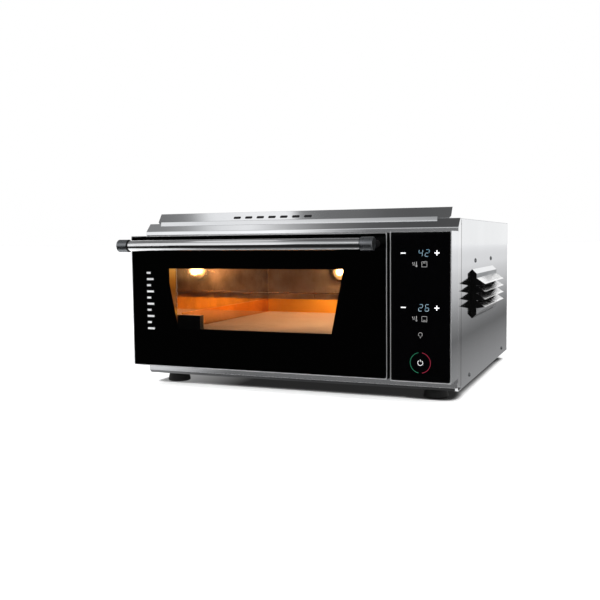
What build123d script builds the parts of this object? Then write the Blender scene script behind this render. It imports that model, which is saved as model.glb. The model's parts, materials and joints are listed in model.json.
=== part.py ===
from build123d import *
from math import atan2, cos, radians, sin, tan
import os

# Countertop pizza oven with a drop-down glass door, a touch control box beside it and a louvred side vent.
# Millimetres. X runs along the front from left to right, Y from front to back, Z up from the counter.
# The origin is the centre of the whole oven's footprint, at the height of the counter.

# casing
body_width = 560.0
body_depth = 506.5
body_height = 268.0
foot_height = 16.7
sheet = 1.2
slab_depth = 50.0
return_depth = 22.0
seam_gap = 0.5
relief_hole_r = 1.6
relief_hole_drop = 9.3
flange = 10.0

# front rail, visor and deflector
rail_height = 13.0
rail_bevel = 5.2
visor_lip = 5.9
visor_rise = 14.1
deflector_end_gap = 15.0
deflector_height = 17.9
deflector_lean = 35.0
deflector_setback = 1.2
deflector_flange = 18.0
deflector_corner = 3.0

# door
door_inset = 2.7
door_box_gap = 5.9
door_drop = 23.0
door_depth = 46.0
door_lip = 1.0
glass = 4.0
print_thickness = 0.4
frame_ledge = 12.0
window_top_margin = 68.7
window_bottom_margin = 89.3
window_header = 55.0
window_sill = 65.1
window_shift = -1.2
inner_window_spread = 26.0
inner_window_header = 35.2
inner_window_sill = 57.0
inner_glass_overlap = 12.0
retainer_width = 14.0
retainer_length = 40.0

# handle
tube_r = 9.0
tube_wall = 1.5
cap_r = 10.5
cap_length = 19.0
cap_wall = 3.0
ring_thickness = 1.4
ring_r = 10.0
handle_end_inset = 5.6
handle_drop = 15.5
handle_standoff = 43.6
cap_round = 1.0
post_r = 6.0
handle_screw_r = 2.5
handle_screw_length = 30.0

# hinges
pivot_behind_glass = 20.0
pivot_above_sill = 8.0
hinge_pin_r = 3.0
arm_thickness = 8.0
arm_eye_r = 8.0
arm_root_height = 14.0
arm_root_rise = 37.0
arm_upper_crank = 6.0
arm_lower_crank = 3.0
arm_shoulder = (0.64, 0.77)  # where the arm meets its eye, in eye radii
bracket_sheet = 2.0
bracket_gap = 0.4
arm_slot = 13.6
arm_slot_clear = 6.0
pin_head = 1.5
pin_end = 0.5
hinge_box_width = 45.0
hinge_box_depth = 13.0
hinge_box_top = 83.2
running = 0.05

# control box
box_width = 93.6
box_hem = 2.5
box_ledge = 4.0
board_thickness = 1.6
display_parts = (  # from the board's left edge, width, height, rise, thickness
    (20.0, 14.0, 14.0, 90.0, 1.5),
    (45.0, 30.0, 10.0, 40.0, 9.0),
    (25.0, 35.0, 20.0, 140.0, 6.0),
)

# baking chamber
chamber_left_inset = 59.7
chamber_right_inset = 58.1
chamber_rear_space = 128.3
chamber_top_space = 65.3
chamber_sheet = 1.0
chamber_floor_rise = 24.0
stone_rise = 58.0
stone_thickness = 14.0
stone_gap = 3.0
stone_front_gap = 3.0
frame_top_rise = 86.0
stone_ledge = 9.0
gasket_width = 8.0
gasket_inset = 5.0
door_gap = 0.3

# heating elements, lamp and probes
element_r = 3.25
element_gap = 9.0
element_side_gap = 44.0
element_count = 4
lamp_leg_gap = 36.0
element_tail = 24.0
element_hole_clear = 0.5
lens_r = 21.0
lens_depth = 12.0
lens_wall = 3.0
lens_bore_r = 17.0
socket_r = 16.0
socket_length = 34.0
bulb_r = 6.5
lamp_drop = 33.5
probe_r = 2.0
probe_length = 70.0
upper_probe_side = 40.0
lower_probe_side = 27.0

# insulation
blanket = 38.0
insulation_gap = 0.3

# side vent and fan
vent_start = 111.5
vent_length = 203.0
vent_top_drop = 82.3
vent_height = 82.3
vent_face = 7.5
vent_sheet = 1.0
louvre_reach = 21.5
louvre_count = 4
louvre_pitch = 12.7
louvre_first_drop = 15.0
louvre_fall = 9.7
louvre_back = 2.3
vent_cut_margin = 15.0
fan_size = 80.0
fan_depth = 25.0
fan_duct_r = 38.0
fan_tip_gap = 1.5
fan_hub_r = 17.0
fan_blades = 7
fan_blade_thickness = 1.6
fan_blade_angle = 38.0
fan_hole_spacing = 71.5
fan_screw_r = 2.0
fan_shaft_r = 2.0
fan_spider = 3.0
fan_rotor_gap = 0.5
fan_blade_root = 1.0

# screws and feet
screw_head_r = 3.8
screw_head_height = 2.2
screw_r = 2.0
screw_length = 8.0
screw_clear = 0.1
low_screw_rise = 12.8
low_screw_setback = 91.0
low_screw_rear = 73.5
high_screw_drop = 68.7
high_screw_setback = 140.4
high_screw_spacing = 155.1
base_screw_setback = 16.0
base_screw_insets = (11.2, 72.8)
foot_r = 21.0
foot_top_r = 17.0
foot_inset_x = 42.0
foot_inset_y = 33.0
foot_round = 3.0
foot_recess_r = 6.0
foot_recess_depth = 7.0
foot_screw_r = 2.5
foot_screw_head_r = 4.8
foot_screw_head_height = 3.0
foot_screw_length = 20.0

# rear and electronics bay
divider_gap = 12.0
pan_lip = 20.0
gland_bore_r = 5.0
gland_thread_r = 10.0
gland_hex_r = 13.5
gland_hex_height = 6.0
gland_reach = 22.0
gland_thread_length = 12.0
gland_nut_height = 5.0
gland_rise = 45.0
gland_from_right = 50.0
slot_length = 60.0
slot_height = 4.0
slot_count = 6
slot_pitch = 10.0
slot_drop = 60.0
power_board_rear = 22.0
power_board_rise = 90.0
power_board_length = 150.0
power_board_height = 110.0
standoff = 10.0
standoff_r = 3.5
wire_hole_margin = 20.0
wire_hole_rise = 30.0
wire_hole_height = 40.0
terminal_size = (30.0, 46.0, 22.0)
terminal_count = 3
relay_count = 3
relay_pitch = 24.0
relay_place = (20.0, 20.0)
relay_size = (16.0, 18.0, 30.0)
transformer_place = (100.0, 40.0)
transformer_size = (32.0, 38.0, 42.0)
connector_place = (20.0, 70.0)
connector_size = (12.0, 70.0, 12.0)

# stations worked out from the sizes above
overall_width = screw_head_height + body_width + louvre_reach
overall_depth = cap_r + handle_standoff + slab_depth + body_depth + gland_reach
body_left = -overall_width / 2 + screw_head_height
body_right = body_left + body_width
body_centre = body_left + body_width / 2
glass_y = -overall_depth / 2 + cap_r + handle_standoff
front_y = glass_y + slab_depth
back_y = front_y + body_depth
base_z = foot_height
top_z = base_z + body_height
side_start_y = front_y + return_depth + seam_gap

visor_y = front_y - sheet
visor_top_y = visor_y + visor_rise
visor_bend_z = top_z - visor_rise
visor_lip_z = visor_bend_z - visor_lip

box_right = body_right
box_left = box_right - box_width
box_top = visor_lip_z - door_gap
door_top = box_top - box_hem
door_bottom = base_z + door_drop
box_bottom = door_bottom - box_hem

door_left = body_left + door_inset
door_right = box_left - door_box_gap
door_width = door_right - door_left
door_height = door_top - door_bottom
door_centre = (door_left + door_right) / 2
door_rear_y = glass_y + door_depth
mitre = sheet * tan(radians(22.5))

chamber_left = door_left + chamber_left_inset
chamber_right = door_right - chamber_right_inset
chamber_width = chamber_right - chamber_left
chamber_centre = (chamber_left + chamber_right) / 2
chamber_front = front_y + sheet
chamber_back = back_y - chamber_rear_space
chamber_floor_z = door_bottom + chamber_floor_rise
chamber_roof_z = top_z - chamber_top_space
stone_top_z = door_bottom + stone_rise
lamp_z = chamber_roof_z - lamp_drop

pivot_y = glass_y + pivot_behind_glass
pivot_z = door_bottom + pivot_above_sill
hinge_box_centres = (chamber_left + hinge_box_width / 2, chamber_right - hinge_box_width / 2)

divider_x = box_left - divider_gap
vent_start_y = front_y + vent_start
vent_end_y = vent_start_y + vent_length
vent_top_z = top_z - vent_top_drop
vent_bottom_z = vent_top_z - vent_height
fan_y = (vent_start_y + vent_end_y) / 2
fan_z = (vent_top_z + vent_bottom_z) / 2
fan_outer_x = body_right - sheet

os.makedirs("parts", exist_ok=True)


def block(x0, x1, y0, y1, z0, z1, mode=Mode.ADD):
    """Adds a box between two opposite corners to the open part, or cuts it away."""
    with Locations(((x0 + x1) / 2, (y0 + y1) / 2, (z0 + z1) / 2)):
        Box(x1 - x0, y1 - y0, z1 - z0, mode=mode)


def rod(x, y, z, radius, length, axis, mode=Mode.ADD):
    """Adds a cylinder that starts at a point and runs along a direction, or cuts it away."""
    with Locations(Plane(origin=(x, y, z), z_dir=axis)):
        Cylinder(radius, length, align=(Align.CENTER, Align.CENTER, Align.MIN), mode=mode)


def save(name, part):
    """Labels a finished piece and writes its STEP file."""
    part.label = name
    export_step(part, f"parts/{name}.step")


# --- Casing ---

# Base pan: floor sheet with a front rail that has a bevelled lower edge, and a lip up each side.
with BuildPart() as base_pan:
    with BuildSketch(Plane.YZ.offset(body_left)):
        with BuildLine():
            Polyline(
                (front_y - sheet, base_z + rail_bevel),
                (front_y - sheet + rail_bevel, base_z),
                (front_y + return_depth, base_z),
                (front_y + return_depth, base_z + sheet),
                (front_y - sheet + rail_bevel + mitre, base_z + sheet),
                (front_y, base_z + rail_bevel + mitre),
                (front_y, base_z + rail_height),
                (front_y - sheet, base_z + rail_height),
                close=True,
            )
        make_face()
    extrude(amount=body_width)
    inner_left = body_left + sheet
    inner_right = body_right - sheet
    rear_y = back_y - sheet
    block(inner_left, inner_right, front_y + return_depth, rear_y, base_z, base_z + sheet)
    for lip_x in (inner_left, inner_right - sheet):
        block(lip_x, lip_x + sheet, side_start_y, rear_y, base_z, base_z + pan_lip)
    for side in (-1, 1):
        for y in (front_y + low_screw_setback, back_y - low_screw_rear):
            x = body_centre + side * (body_width / 2)
            z = base_z + low_screw_rise
            rod(x, y, z, screw_r + screw_clear, 3 * sheet, (-side, 0, 0), Mode.SUBTRACT)
    for x in (body_left + foot_inset_x, body_right - foot_inset_x):
        for y in (front_y + foot_inset_y, back_y - foot_inset_y):
            rod(x, y, base_z, foot_screw_r + screw_clear, sheet, (0, 0, 1), Mode.SUBTRACT)
    corner_inset, inner_inset = base_screw_insets
    base_screw_xs = [
        body_left + corner_inset, body_left + inner_inset, body_centre,
        body_right - inner_inset, body_right - corner_inset,
    ]
    for x in base_screw_xs:
        y = front_y + base_screw_setback
        rod(x, y, base_z, screw_r + screw_clear, sheet, (0, 0, 1), Mode.SUBTRACT)
save("base_pan", base_pan.part)

# Front frame: the front sheet with the oven's mouth, and a return along each side of the casing.
frame_bottom_z = base_z + rail_bevel + mitre
with BuildPart() as front_frame:
    frame_top_z = visor_bend_z - mitre
    block(body_left, body_right, front_y, front_y + sheet, frame_bottom_z, frame_top_z)
    for side_x in (body_left, body_right - sheet):
        with BuildSketch(Plane.YZ.offset(side_x)):
            with BuildLine():
                Polyline(
                    (front_y, frame_bottom_z),
                    (front_y + return_depth, frame_bottom_z),
                    (front_y + return_depth, top_z - sheet),
                    (visor_top_y + mitre, top_z - sheet),
                    (front_y, frame_top_z),
                    close=True,
                )
            make_face()
        extrude(amount=sheet)
    block(
        chamber_left, chamber_right, front_y, front_y + sheet, chamber_floor_z, chamber_roof_z,
        mode=Mode.SUBTRACT,
    )
    block(
        box_left + wire_hole_margin, box_right - wire_hole_margin, front_y, front_y + sheet,
        door_bottom + wire_hole_rise, door_bottom + wire_hole_rise + wire_hole_height,
        mode=Mode.SUBTRACT,
    )
    seam_y = front_y + return_depth + seam_gap / 2
    seam_z = top_z - relief_hole_drop
    rod(body_left, seam_y, seam_z, relief_hole_r, body_width, (1, 0, 0), Mode.SUBTRACT)
save("front_frame", front_frame.part)

# Side panels: flat skins with a flange under the top cover. The right one is cut open behind the louvres.
side_screw_places = [
    (front_y + low_screw_setback, base_z + low_screw_rise),
    (back_y - low_screw_rear, base_z + low_screw_rise),
    (front_y + high_screw_setback, top_z - high_screw_drop),
    (front_y + high_screw_setback + high_screw_spacing, top_z - high_screw_drop),
]
for name, side in (("side_panel_left", -1), ("side_panel_right", 1)):
    with BuildPart() as side_panel:
        outer_x = body_centre + side * body_width / 2
        inner_x = outer_x - side * sheet
        flange_x = outer_x - side * flange
        x0, x1 = sorted((outer_x, inner_x))
        block(x0, x1, side_start_y, back_y, base_z, top_z - sheet)
        x0, x1 = sorted((outer_x, flange_x))
        block(x0, x1, side_start_y, back_y - sheet, top_z - 2 * sheet, top_z - sheet)
        for y, z in side_screw_places:
            rod(outer_x, y, z, screw_r + screw_clear, sheet, (-side, 0, 0), Mode.SUBTRACT)
        rod(outer_x, seam_y, seam_z, relief_hole_r, sheet, (-side, 0, 0), Mode.SUBTRACT)
        if side > 0:
            block(
                inner_x, outer_x,
                vent_start_y + vent_cut_margin, vent_end_y - vent_cut_margin,
                vent_bottom_z + vent_cut_margin, vent_top_z - vent_cut_margin,
                mode=Mode.SUBTRACT,
            )
            half = fan_hole_spacing / 2
            for dy in (-half, half):
                for dz in (-half, half):
                    y = fan_y + dy
                    z = fan_z + dz
                    rod(outer_x, y, z, fan_screw_r + screw_clear, sheet, (-1, 0, 0), Mode.SUBTRACT)
    save(name, side_panel.part)

# Back panel: rear skin with cooling slots, the cable entry and screw holes.
gland_x = body_right - gland_from_right
gland_z = base_z + gland_rise
back_screw_places = [
    (x, z)
    for x in (body_left + 3 * flange, body_centre, body_right - 3 * flange)
    for z in (base_z + 2 * flange, top_z - 2 * flange)
]
with BuildPart() as back_panel:
    block(
        body_left + sheet, body_right - sheet, back_y - sheet, back_y, base_z, top_z - sheet
    )
    rod(gland_x, back_y, gland_z, gland_thread_r + screw_clear, sheet, (0, -1, 0), Mode.SUBTRACT)
    for row in range(slot_count):
        z = top_z - slot_drop - row * slot_pitch
        x0 = box_left + flange
        block(x0, x0 + slot_length, back_y - sheet, back_y, z, z + slot_height, Mode.SUBTRACT)
    for x, z in back_screw_places:
        rod(x, back_y, z, screw_r + screw_clear, sheet, (0, -1, 0), Mode.SUBTRACT)
save("back_panel", back_panel.part)

# Top cover: one sheet that bends down at the front into a sloped visor with a short upright lip.
with BuildPart() as top_cover:
    with BuildSketch(Plane.YZ.offset(body_left)):
        with BuildLine():
            Polyline(
                (visor_y, visor_lip_z),
                (visor_y, visor_bend_z),
                (visor_top_y, top_z),
                (back_y, top_z),
                (back_y, top_z - sheet),
                (visor_top_y + mitre, top_z - sheet),
                (front_y, visor_bend_z - mitre),
                (front_y, visor_lip_z),
                close=True,
            )
        make_face()
    extrude(amount=body_width)
save("top_cover", top_cover.part)

# Heat deflector: a bent strip whose upright leaf leans back over the front of the top.
with BuildPart() as heat_deflector:
    deflector_length = body_width - 2 * deflector_end_gap
    lean = radians(deflector_lean)
    foot_y = visor_top_y + deflector_setback
    tip_y = foot_y + deflector_height * tan(lean)
    tip_z = top_z + deflector_height
    inner_foot_y = foot_y + sheet * (1 + sin(lean)) / cos(lean)
    with BuildSketch(Plane.YZ.offset(body_centre - deflector_length / 2)):
        with BuildLine():
            Polyline(
                (foot_y, top_z),
                (tip_y, tip_z),
                (tip_y + sheet * cos(lean), tip_z - sheet * sin(lean)),
                (inner_foot_y, top_z + sheet),
                (foot_y + deflector_flange, top_z + sheet),
                (foot_y + deflector_flange, top_z),
                close=True,
            )
        make_face()
    extrude(amount=deflector_length)
    for side in (-1, 1):
        end_x = body_centre + side * deflector_length / 2
        with BuildSketch(Plane.XZ.offset(-foot_y - deflector_flange)):
            with BuildLine():
                Polyline(
                    (end_x, top_z),
                    (end_x, top_z + deflector_corner),
                    (end_x - side * deflector_corner, top_z),
                    close=True,
                )
            make_face()
        extrude(amount=deflector_flange + sheet, mode=Mode.SUBTRACT)
save("heat_deflector", heat_deflector.part)

# Side vent hood: chamfered box over the vent with four louvres that slope down and out between its cheeks.
with BuildPart() as side_vent_hood:
    louvre_tops = [vent_top_z - louvre_first_drop - n * louvre_pitch for n in range(louvre_count)]
    outline = [(body_right, vent_top_z), (body_right + vent_face, vent_top_z - vent_face)]
    for top in louvre_tops:
        outline.append((body_right + vent_face, top))
        outline.append((body_right + louvre_reach, top - louvre_fall))
        outline.append((body_right + vent_face, top - louvre_fall - louvre_back))
    outline.append((body_right + vent_face, vent_bottom_z + vent_face))
    outline.append((body_right, vent_bottom_z))
    with BuildSketch(Plane.XZ.offset(-vent_start_y)):
        with BuildLine():
            Polyline(*outline, close=True)
        make_face()
    extrude(amount=-vent_length)
    inset = vent_sheet * (1 + tan(radians(22.5)))
    with BuildSketch(Plane.XZ.offset(-vent_start_y - vent_sheet)):
        with BuildLine():
            Polyline(
                (body_right, vent_top_z - inset),
                (body_right + vent_face - vent_sheet, vent_top_z - vent_face - vent_sheet / 2),
                (body_right + vent_face - vent_sheet, vent_bottom_z + vent_face + vent_sheet / 2),
                (body_right, vent_bottom_z + inset),
                close=True,
            )
        make_face()
    extrude(amount=-(vent_length - 2 * vent_sheet), mode=Mode.SUBTRACT)
    fall_slope = louvre_fall / (louvre_reach - vent_face)
    under = vent_sheet / cos(atan2(louvre_fall, louvre_reach - vent_face))
    for top in louvre_tops:
        with BuildSketch(Plane.XZ.offset(-vent_start_y - vent_sheet)):
            with BuildLine():
                Polyline(
                    (body_right + vent_face - vent_sheet, top - under + fall_slope * vent_sheet),
                    (body_right + louvre_reach + vent_sheet,
                     top - under - louvre_fall - fall_slope * vent_sheet),
                    (body_right + louvre_reach + vent_sheet, top - louvre_fall - louvre_back),
                    (body_right + vent_face - vent_sheet, top - louvre_fall - louvre_back),
                    close=True,
                )
            make_face()
        extrude(amount=-(vent_length - 2 * vent_sheet), mode=Mode.SUBTRACT)
save("side_vent_hood", side_vent_hood.part)

# Divider wall between the baking chamber and the electronics bay.
with BuildPart() as divider_wall:
    divider_front_y = front_y + rail_bevel + mitre
    with BuildSketch(Plane.YZ.offset(divider_x)):
        with BuildLine():
            Polyline(
                (divider_front_y, base_z + sheet),
                (back_y - sheet, base_z + sheet),
                (back_y - sheet, top_z - sheet),
                (visor_top_y + mitre, top_z - sheet),
                (divider_front_y, frame_top_z + divider_front_y - front_y),
                close=True,
            )
        make_face()
    extrude(amount=sheet)
save("divider_wall", divider_wall.part)

# Rubber feet: tapered discs with a rounded lower edge and a recess for the screw.
foot_places = [
    (x, y)
    for x in (body_left + foot_inset_x, body_right - foot_inset_x)
    for y in (front_y + foot_inset_y, back_y - foot_inset_y)
]
with BuildPart() as rubber_feet:
    with Locations(*[(x, y, 0) for x, y in foot_places]):
        Cone(foot_r, foot_top_r, foot_height, align=(Align.CENTER, Align.CENTER, Align.MIN))
    fillet(
        rubber_feet.edges().filter_by(GeomType.CIRCLE).group_by(Axis.Z)[0],
        radius=foot_round,
    )
    for x, y in foot_places:
        rod(x, y, 0, foot_recess_r, foot_recess_depth, (0, 0, 1), Mode.SUBTRACT)
        rod(x, y, 0, foot_screw_r + screw_clear, foot_height, (0, 0, 1), Mode.SUBTRACT)
save("rubber_feet", rubber_feet.part)

with BuildPart() as foot_screws:
    for x, y in foot_places:
        head_z = foot_recess_depth - foot_screw_head_height
        rod(x, y, head_z, foot_screw_head_r, foot_screw_head_height, (0, 0, 1))
        rod(x, y, head_z, foot_screw_r, foot_screw_length, (0, 0, 1))
save("foot_screws", foot_screws.part)

# Side screws: domed heads on the skins, shanks inside.
with BuildPart() as side_screws:
    for side in (-1, 1):
        outer_x = body_centre + side * body_width / 2
        for y, z in side_screw_places:
            rod(outer_x, y, z, screw_head_r, screw_head_height, (side, 0, 0))
            rod(outer_x, y, z, screw_r, screw_length, (-side, 0, 0))
    rims = side_screws.edges().filter_by(GeomType.CIRCLE)
    outer_rims = rims.filter_by(lambda e: abs(e.center().X - body_centre) > body_width / 2 + 1)
    fillet(outer_rims, radius=screw_head_height * 0.7)
save("side_screws", side_screws.part)

with BuildPart() as base_screws:
    for x in base_screw_xs:
        y = front_y + base_screw_setback
        rod(x, y, base_z, screw_head_r, screw_head_height, (0, 0, -1))
        rod(x, y, base_z, screw_r, screw_length, (0, 0, 1))
save("base_screws", base_screws.part)

with BuildPart() as back_screws:
    for x, z in back_screw_places:
        rod(x, back_y, z, screw_head_r, screw_head_height, (0, 1, 0))
        rod(x, back_y, z, screw_r, screw_length, (0, -1, 0))
save("back_screws", back_screws.part)

# --- Control box ---

with BuildPart() as control_box:
    block(box_left, box_right, glass_y, front_y, box_bottom, box_top)
    block(
        box_left + box_hem, box_right - box_hem, glass_y, glass_y + glass,
        box_bottom + box_hem, box_top - box_hem, mode=Mode.SUBTRACT,
    )
    ledge = box_hem + box_ledge
    block(
        box_left + ledge, box_right - ledge, glass_y, front_y - sheet,
        box_bottom + ledge, box_top - ledge, mode=Mode.SUBTRACT,
    )
    block(
        box_left + sheet, box_right - sheet, glass_y + glass + sheet, front_y - sheet,
        box_bottom + sheet, box_top - sheet, mode=Mode.SUBTRACT,
    )
    block(
        box_left + wire_hole_margin, box_right - wire_hole_margin, front_y - sheet, front_y,
        door_bottom + wire_hole_rise, door_bottom + wire_hole_rise + wire_hole_height,
        mode=Mode.SUBTRACT,
    )
save("control_box", control_box.part)

with BuildPart() as control_glass:
    block(
        box_left + box_hem, box_right - box_hem, glass_y, glass_y + glass,
        box_bottom + box_hem, box_top - box_hem,
    )
save("control_glass", control_glass.part)

# Display board: touch and display circuit against the ledge behind the glass, with its parts on the back.
with BuildPart() as display_board:
    board_y = glass_y + glass + sheet
    board_rear_y = board_y + board_thickness
    x0 = box_left + 2 * sheet
    x1 = box_right - 2 * sheet
    block(x0, x1, board_y, board_rear_y, box_bottom + 2 * sheet, box_top - 2 * sheet)
    for part_x, width, height, rise, thickness in display_parts:
        z0 = box_bottom + rise
        block(
            x0 + part_x, x0 + part_x + width, board_rear_y, board_rear_y + thickness, z0, z0 + height
        )
save("display_board", display_board.part)

# --- Baking chamber ---

with BuildPart() as chamber_left_wall:
    block(
        chamber_left - chamber_sheet, chamber_left, chamber_front, chamber_back,
        chamber_floor_z, chamber_roof_z,
    )
save("chamber_left_wall", chamber_left_wall.part)

with BuildPart() as chamber_right_wall:
    block(
        chamber_right, chamber_right + chamber_sheet, chamber_front, chamber_back,
        chamber_floor_z, chamber_roof_z,
    )
save("chamber_right_wall", chamber_right_wall.part)

upper_element_z = chamber_roof_z - element_gap - element_r
lower_element_z = stone_top_z - stone_thickness - element_gap
leg_spread = chamber_width / 2 - element_side_gap - lamp_leg_gap / 2
leg_pitch = leg_spread / (element_count - 1)
leg_places = sorted(
    chamber_centre + side * (lamp_leg_gap / 2 + n * leg_pitch)
    for side in (-1, 1)
    for n in range(element_count)
)
element_legs = list(zip(leg_places[0::2], leg_places[1::2]))
probe_places = [
    (chamber_right - upper_probe_side, lamp_z),
    (chamber_right - lower_probe_side, lower_element_z),
]

with BuildPart() as chamber_back_wall:
    back_wall_rear_y = chamber_back + chamber_sheet
    block(
        chamber_left - chamber_sheet, chamber_right + chamber_sheet,
        chamber_back, back_wall_rear_y, chamber_floor_z, chamber_roof_z,
    )
    axis = (0, 1, 0)
    rod(chamber_centre, chamber_back, lamp_z, socket_r + screw_clear, chamber_sheet, axis, Mode.SUBTRACT)
    hole_r = element_r + element_hole_clear
    for legs in element_legs:
        for x in legs:
            for z in (upper_element_z, lower_element_z):
                rod(x, chamber_back, z, hole_r, chamber_sheet, axis, Mode.SUBTRACT)
    for x, z in probe_places:
        rod(x, chamber_back, z, probe_r + screw_clear, chamber_sheet, axis, Mode.SUBTRACT)
save("chamber_back_wall", chamber_back_wall.part)

with BuildPart() as chamber_roof:
    block(
        chamber_left - chamber_sheet, chamber_right + chamber_sheet, chamber_front,
        back_wall_rear_y, chamber_roof_z, chamber_roof_z + chamber_sheet,
    )
save("chamber_roof", chamber_roof.part)

with BuildPart() as chamber_floor:
    block(
        chamber_left - chamber_sheet, chamber_right + chamber_sheet, chamber_front,
        back_wall_rear_y, chamber_floor_z - chamber_sheet, chamber_floor_z,
    )
save("chamber_floor", chamber_floor.part)

# Stone frame: a low liner round three sides of the chamber, with an inward ledge that carries the stone.
stone_bottom_z = stone_top_z - stone_thickness
stone_front_y = chamber_front + hinge_box_depth + stone_front_gap
with BuildPart() as stone_frame:
    frame_top = door_bottom + frame_top_rise
    block(
        chamber_left, chamber_right, stone_front_y, chamber_back,
        stone_bottom_z - chamber_sheet, frame_top,
    )
    block(
        chamber_left + chamber_sheet, chamber_right - chamber_sheet, stone_front_y,
        chamber_back - chamber_sheet, stone_bottom_z, frame_top, mode=Mode.SUBTRACT,
    )
    block(
        chamber_left + stone_ledge, chamber_right - stone_ledge,
        stone_front_y + stone_ledge, chamber_back - stone_ledge,
        stone_bottom_z - chamber_sheet, stone_bottom_z, mode=Mode.SUBTRACT,
    )
save("stone_frame", stone_frame.part)

with BuildPart() as baking_stone:
    block(
        chamber_left + stone_gap, chamber_right - stone_gap, stone_front_y,
        chamber_back - stone_gap, stone_bottom_z, stone_top_z,
    )
    fillet(baking_stone.edges().filter_by(Axis.Z), radius=2 * stone_gap)
    fillet(baking_stone.faces().sort_by(Axis.Z)[-1].edges(), radius=stone_gap / 3)
save("baking_stone", baking_stone.part)

# Heating elements: hairpins of round tube whose tails leave through the back wall.
for name, z in (
    ("upper_heating_elements", upper_element_z),
    ("lower_heating_elements", lower_element_z),
):
    with BuildPart() as heating_elements:
        for left_leg, right_leg in element_legs:
            element_turn_r = (right_leg - left_leg) / 2
            tail_y = back_wall_rear_y + element_tail
            turn_y = stone_front_y + 2 * stone_ledge + element_turn_r
            with BuildLine(Plane.XY.offset(z)) as hairpin:
                Line((left_leg, tail_y), (left_leg, turn_y))
                ThreePointArc(
                    (left_leg, turn_y),
                    ((left_leg + right_leg) / 2, turn_y - element_turn_r),
                    (right_leg, turn_y),
                )
                Line((right_leg, turn_y), (right_leg, tail_y))
            with BuildSketch(Plane(origin=(left_leg, tail_y, z), z_dir=(0, -1, 0))):
                Circle(element_r)
            sweep(path=hairpin.wire())
    save(name, heating_elements.part)

# Lamp: glass cover on the back wall, bulb inside it, socket through the wall.
with BuildPart() as lamp_lens:
    rod(chamber_centre, chamber_back, lamp_z, lens_r, lens_depth, (0, -1, 0))
    fillet(lamp_lens.faces().sort_by(Axis.Y)[0].edges(), radius=lens_depth / 2)
    bore_depth = lens_depth - lens_wall
    rod(chamber_centre, chamber_back, lamp_z, lens_bore_r, bore_depth, (0, -1, 0), Mode.SUBTRACT)
save("lamp_lens", lamp_lens.part)

with BuildPart() as lamp_socket:
    rod(chamber_centre, chamber_back, lamp_z, socket_r, socket_length, (0, 1, 0))
save("lamp_socket", lamp_socket.part)

with BuildPart() as lamp_bulb:
    bulb_length = lens_depth - lens_wall - 1
    rod(chamber_centre, chamber_back, lamp_z, bulb_r, bulb_length, (0, -1, 0))
    fillet(lamp_bulb.faces().sort_by(Axis.Y)[0].edges(), radius=bulb_r * 0.8)
save("lamp_bulb", lamp_bulb.part)

with BuildPart() as temperature_probes:
    for x, z in probe_places:
        rod(x, back_wall_rear_y + element_tail, z, probe_r, probe_length, (0, -1, 0))
save("temperature_probes", temperature_probes.part)

# --- Insulation: stiff mineral-wool slabs that lie against the chamber sheets ---

slab_left = chamber_left - chamber_sheet - blanket
slab_right = chamber_right + chamber_sheet + insulation_gap
slab_rear = back_wall_rear_y + blanket
slab_front = chamber_front + insulation_gap
with BuildPart() as insulation_left:
    block(
        slab_left, chamber_left - chamber_sheet - insulation_gap, slab_front, back_wall_rear_y,
        chamber_floor_z, chamber_roof_z,
    )
save("insulation_left", insulation_left.part)

with BuildPart() as insulation_right:
    block(
        slab_right, min(slab_right + blanket, divider_x - insulation_gap), slab_front,
        back_wall_rear_y, chamber_floor_z, chamber_roof_z,
    )
save("insulation_right", insulation_right.part)

with BuildPart() as insulation_back:
    y0 = back_wall_rear_y + insulation_gap
    block(
        chamber_left - chamber_sheet, chamber_right + chamber_sheet, y0, slab_rear,
        chamber_floor_z, chamber_roof_z,
    )
    depth = blanket
    axis = (0, 1, 0)
    rod(chamber_centre, y0, lamp_z, socket_r + insulation_gap, depth, axis, Mode.SUBTRACT)
    for legs in element_legs:
        for x in legs:
            for z in (upper_element_z, lower_element_z):
                rod(x, y0, z, element_r + insulation_gap, depth, axis, Mode.SUBTRACT)
    for x, z in probe_places:
        rod(x, y0, z, probe_r + insulation_gap, depth, axis, Mode.SUBTRACT)
save("insulation_back", insulation_back.part)

with BuildPart() as insulation_top:
    z0 = chamber_roof_z + chamber_sheet + insulation_gap
    block(slab_left, divider_x - insulation_gap, slab_front, slab_rear, z0, z0 + blanket)
save("insulation_top", insulation_top.part)

with BuildPart() as insulation_bottom:
    z1 = chamber_floor_z - chamber_sheet - insulation_gap
    block(slab_left, divider_x - insulation_gap, divider_front_y, slab_rear, base_z + sheet, z1)
    for x in base_screw_xs[1:4]:
        y = front_y + base_screw_setback
        rod(x, y, base_z, foot_screw_head_r, 2 * screw_length, (0, 0, 1), Mode.SUBTRACT)
    for x, y in foot_places[:2]:
        rod(x, y, base_z, foot_screw_head_r, foot_screw_length, (0, 0, 1), Mode.SUBTRACT)
save("insulation_bottom", insulation_bottom.part)

# --- Door ---

window_centre = door_centre + window_shift
window_bottom_z = door_bottom + window_sill
window_top_z = door_top - window_header
window_top_width = door_width - 2 * window_top_margin
window_bottom_width = door_width - 2 * window_bottom_margin
handle_y = glass_y - handle_standoff
handle_z = door_top - handle_drop
handle_left = door_left + handle_end_inset
handle_right = door_right - handle_end_inset
handle_length = handle_right - handle_left
post_xs = (handle_left + cap_length / 2, handle_right - cap_length / 2)

with BuildPart() as door_outer_glass:
    block(door_left, door_right, glass_y, glass_y + glass, door_bottom, door_top)
    for x in post_xs:
        hole_r = handle_screw_r + screw_clear
        rod(x, glass_y, handle_z, hole_r, glass, (0, 1, 0), Mode.SUBTRACT)
save("door_outer_glass", door_outer_glass.part)

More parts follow.
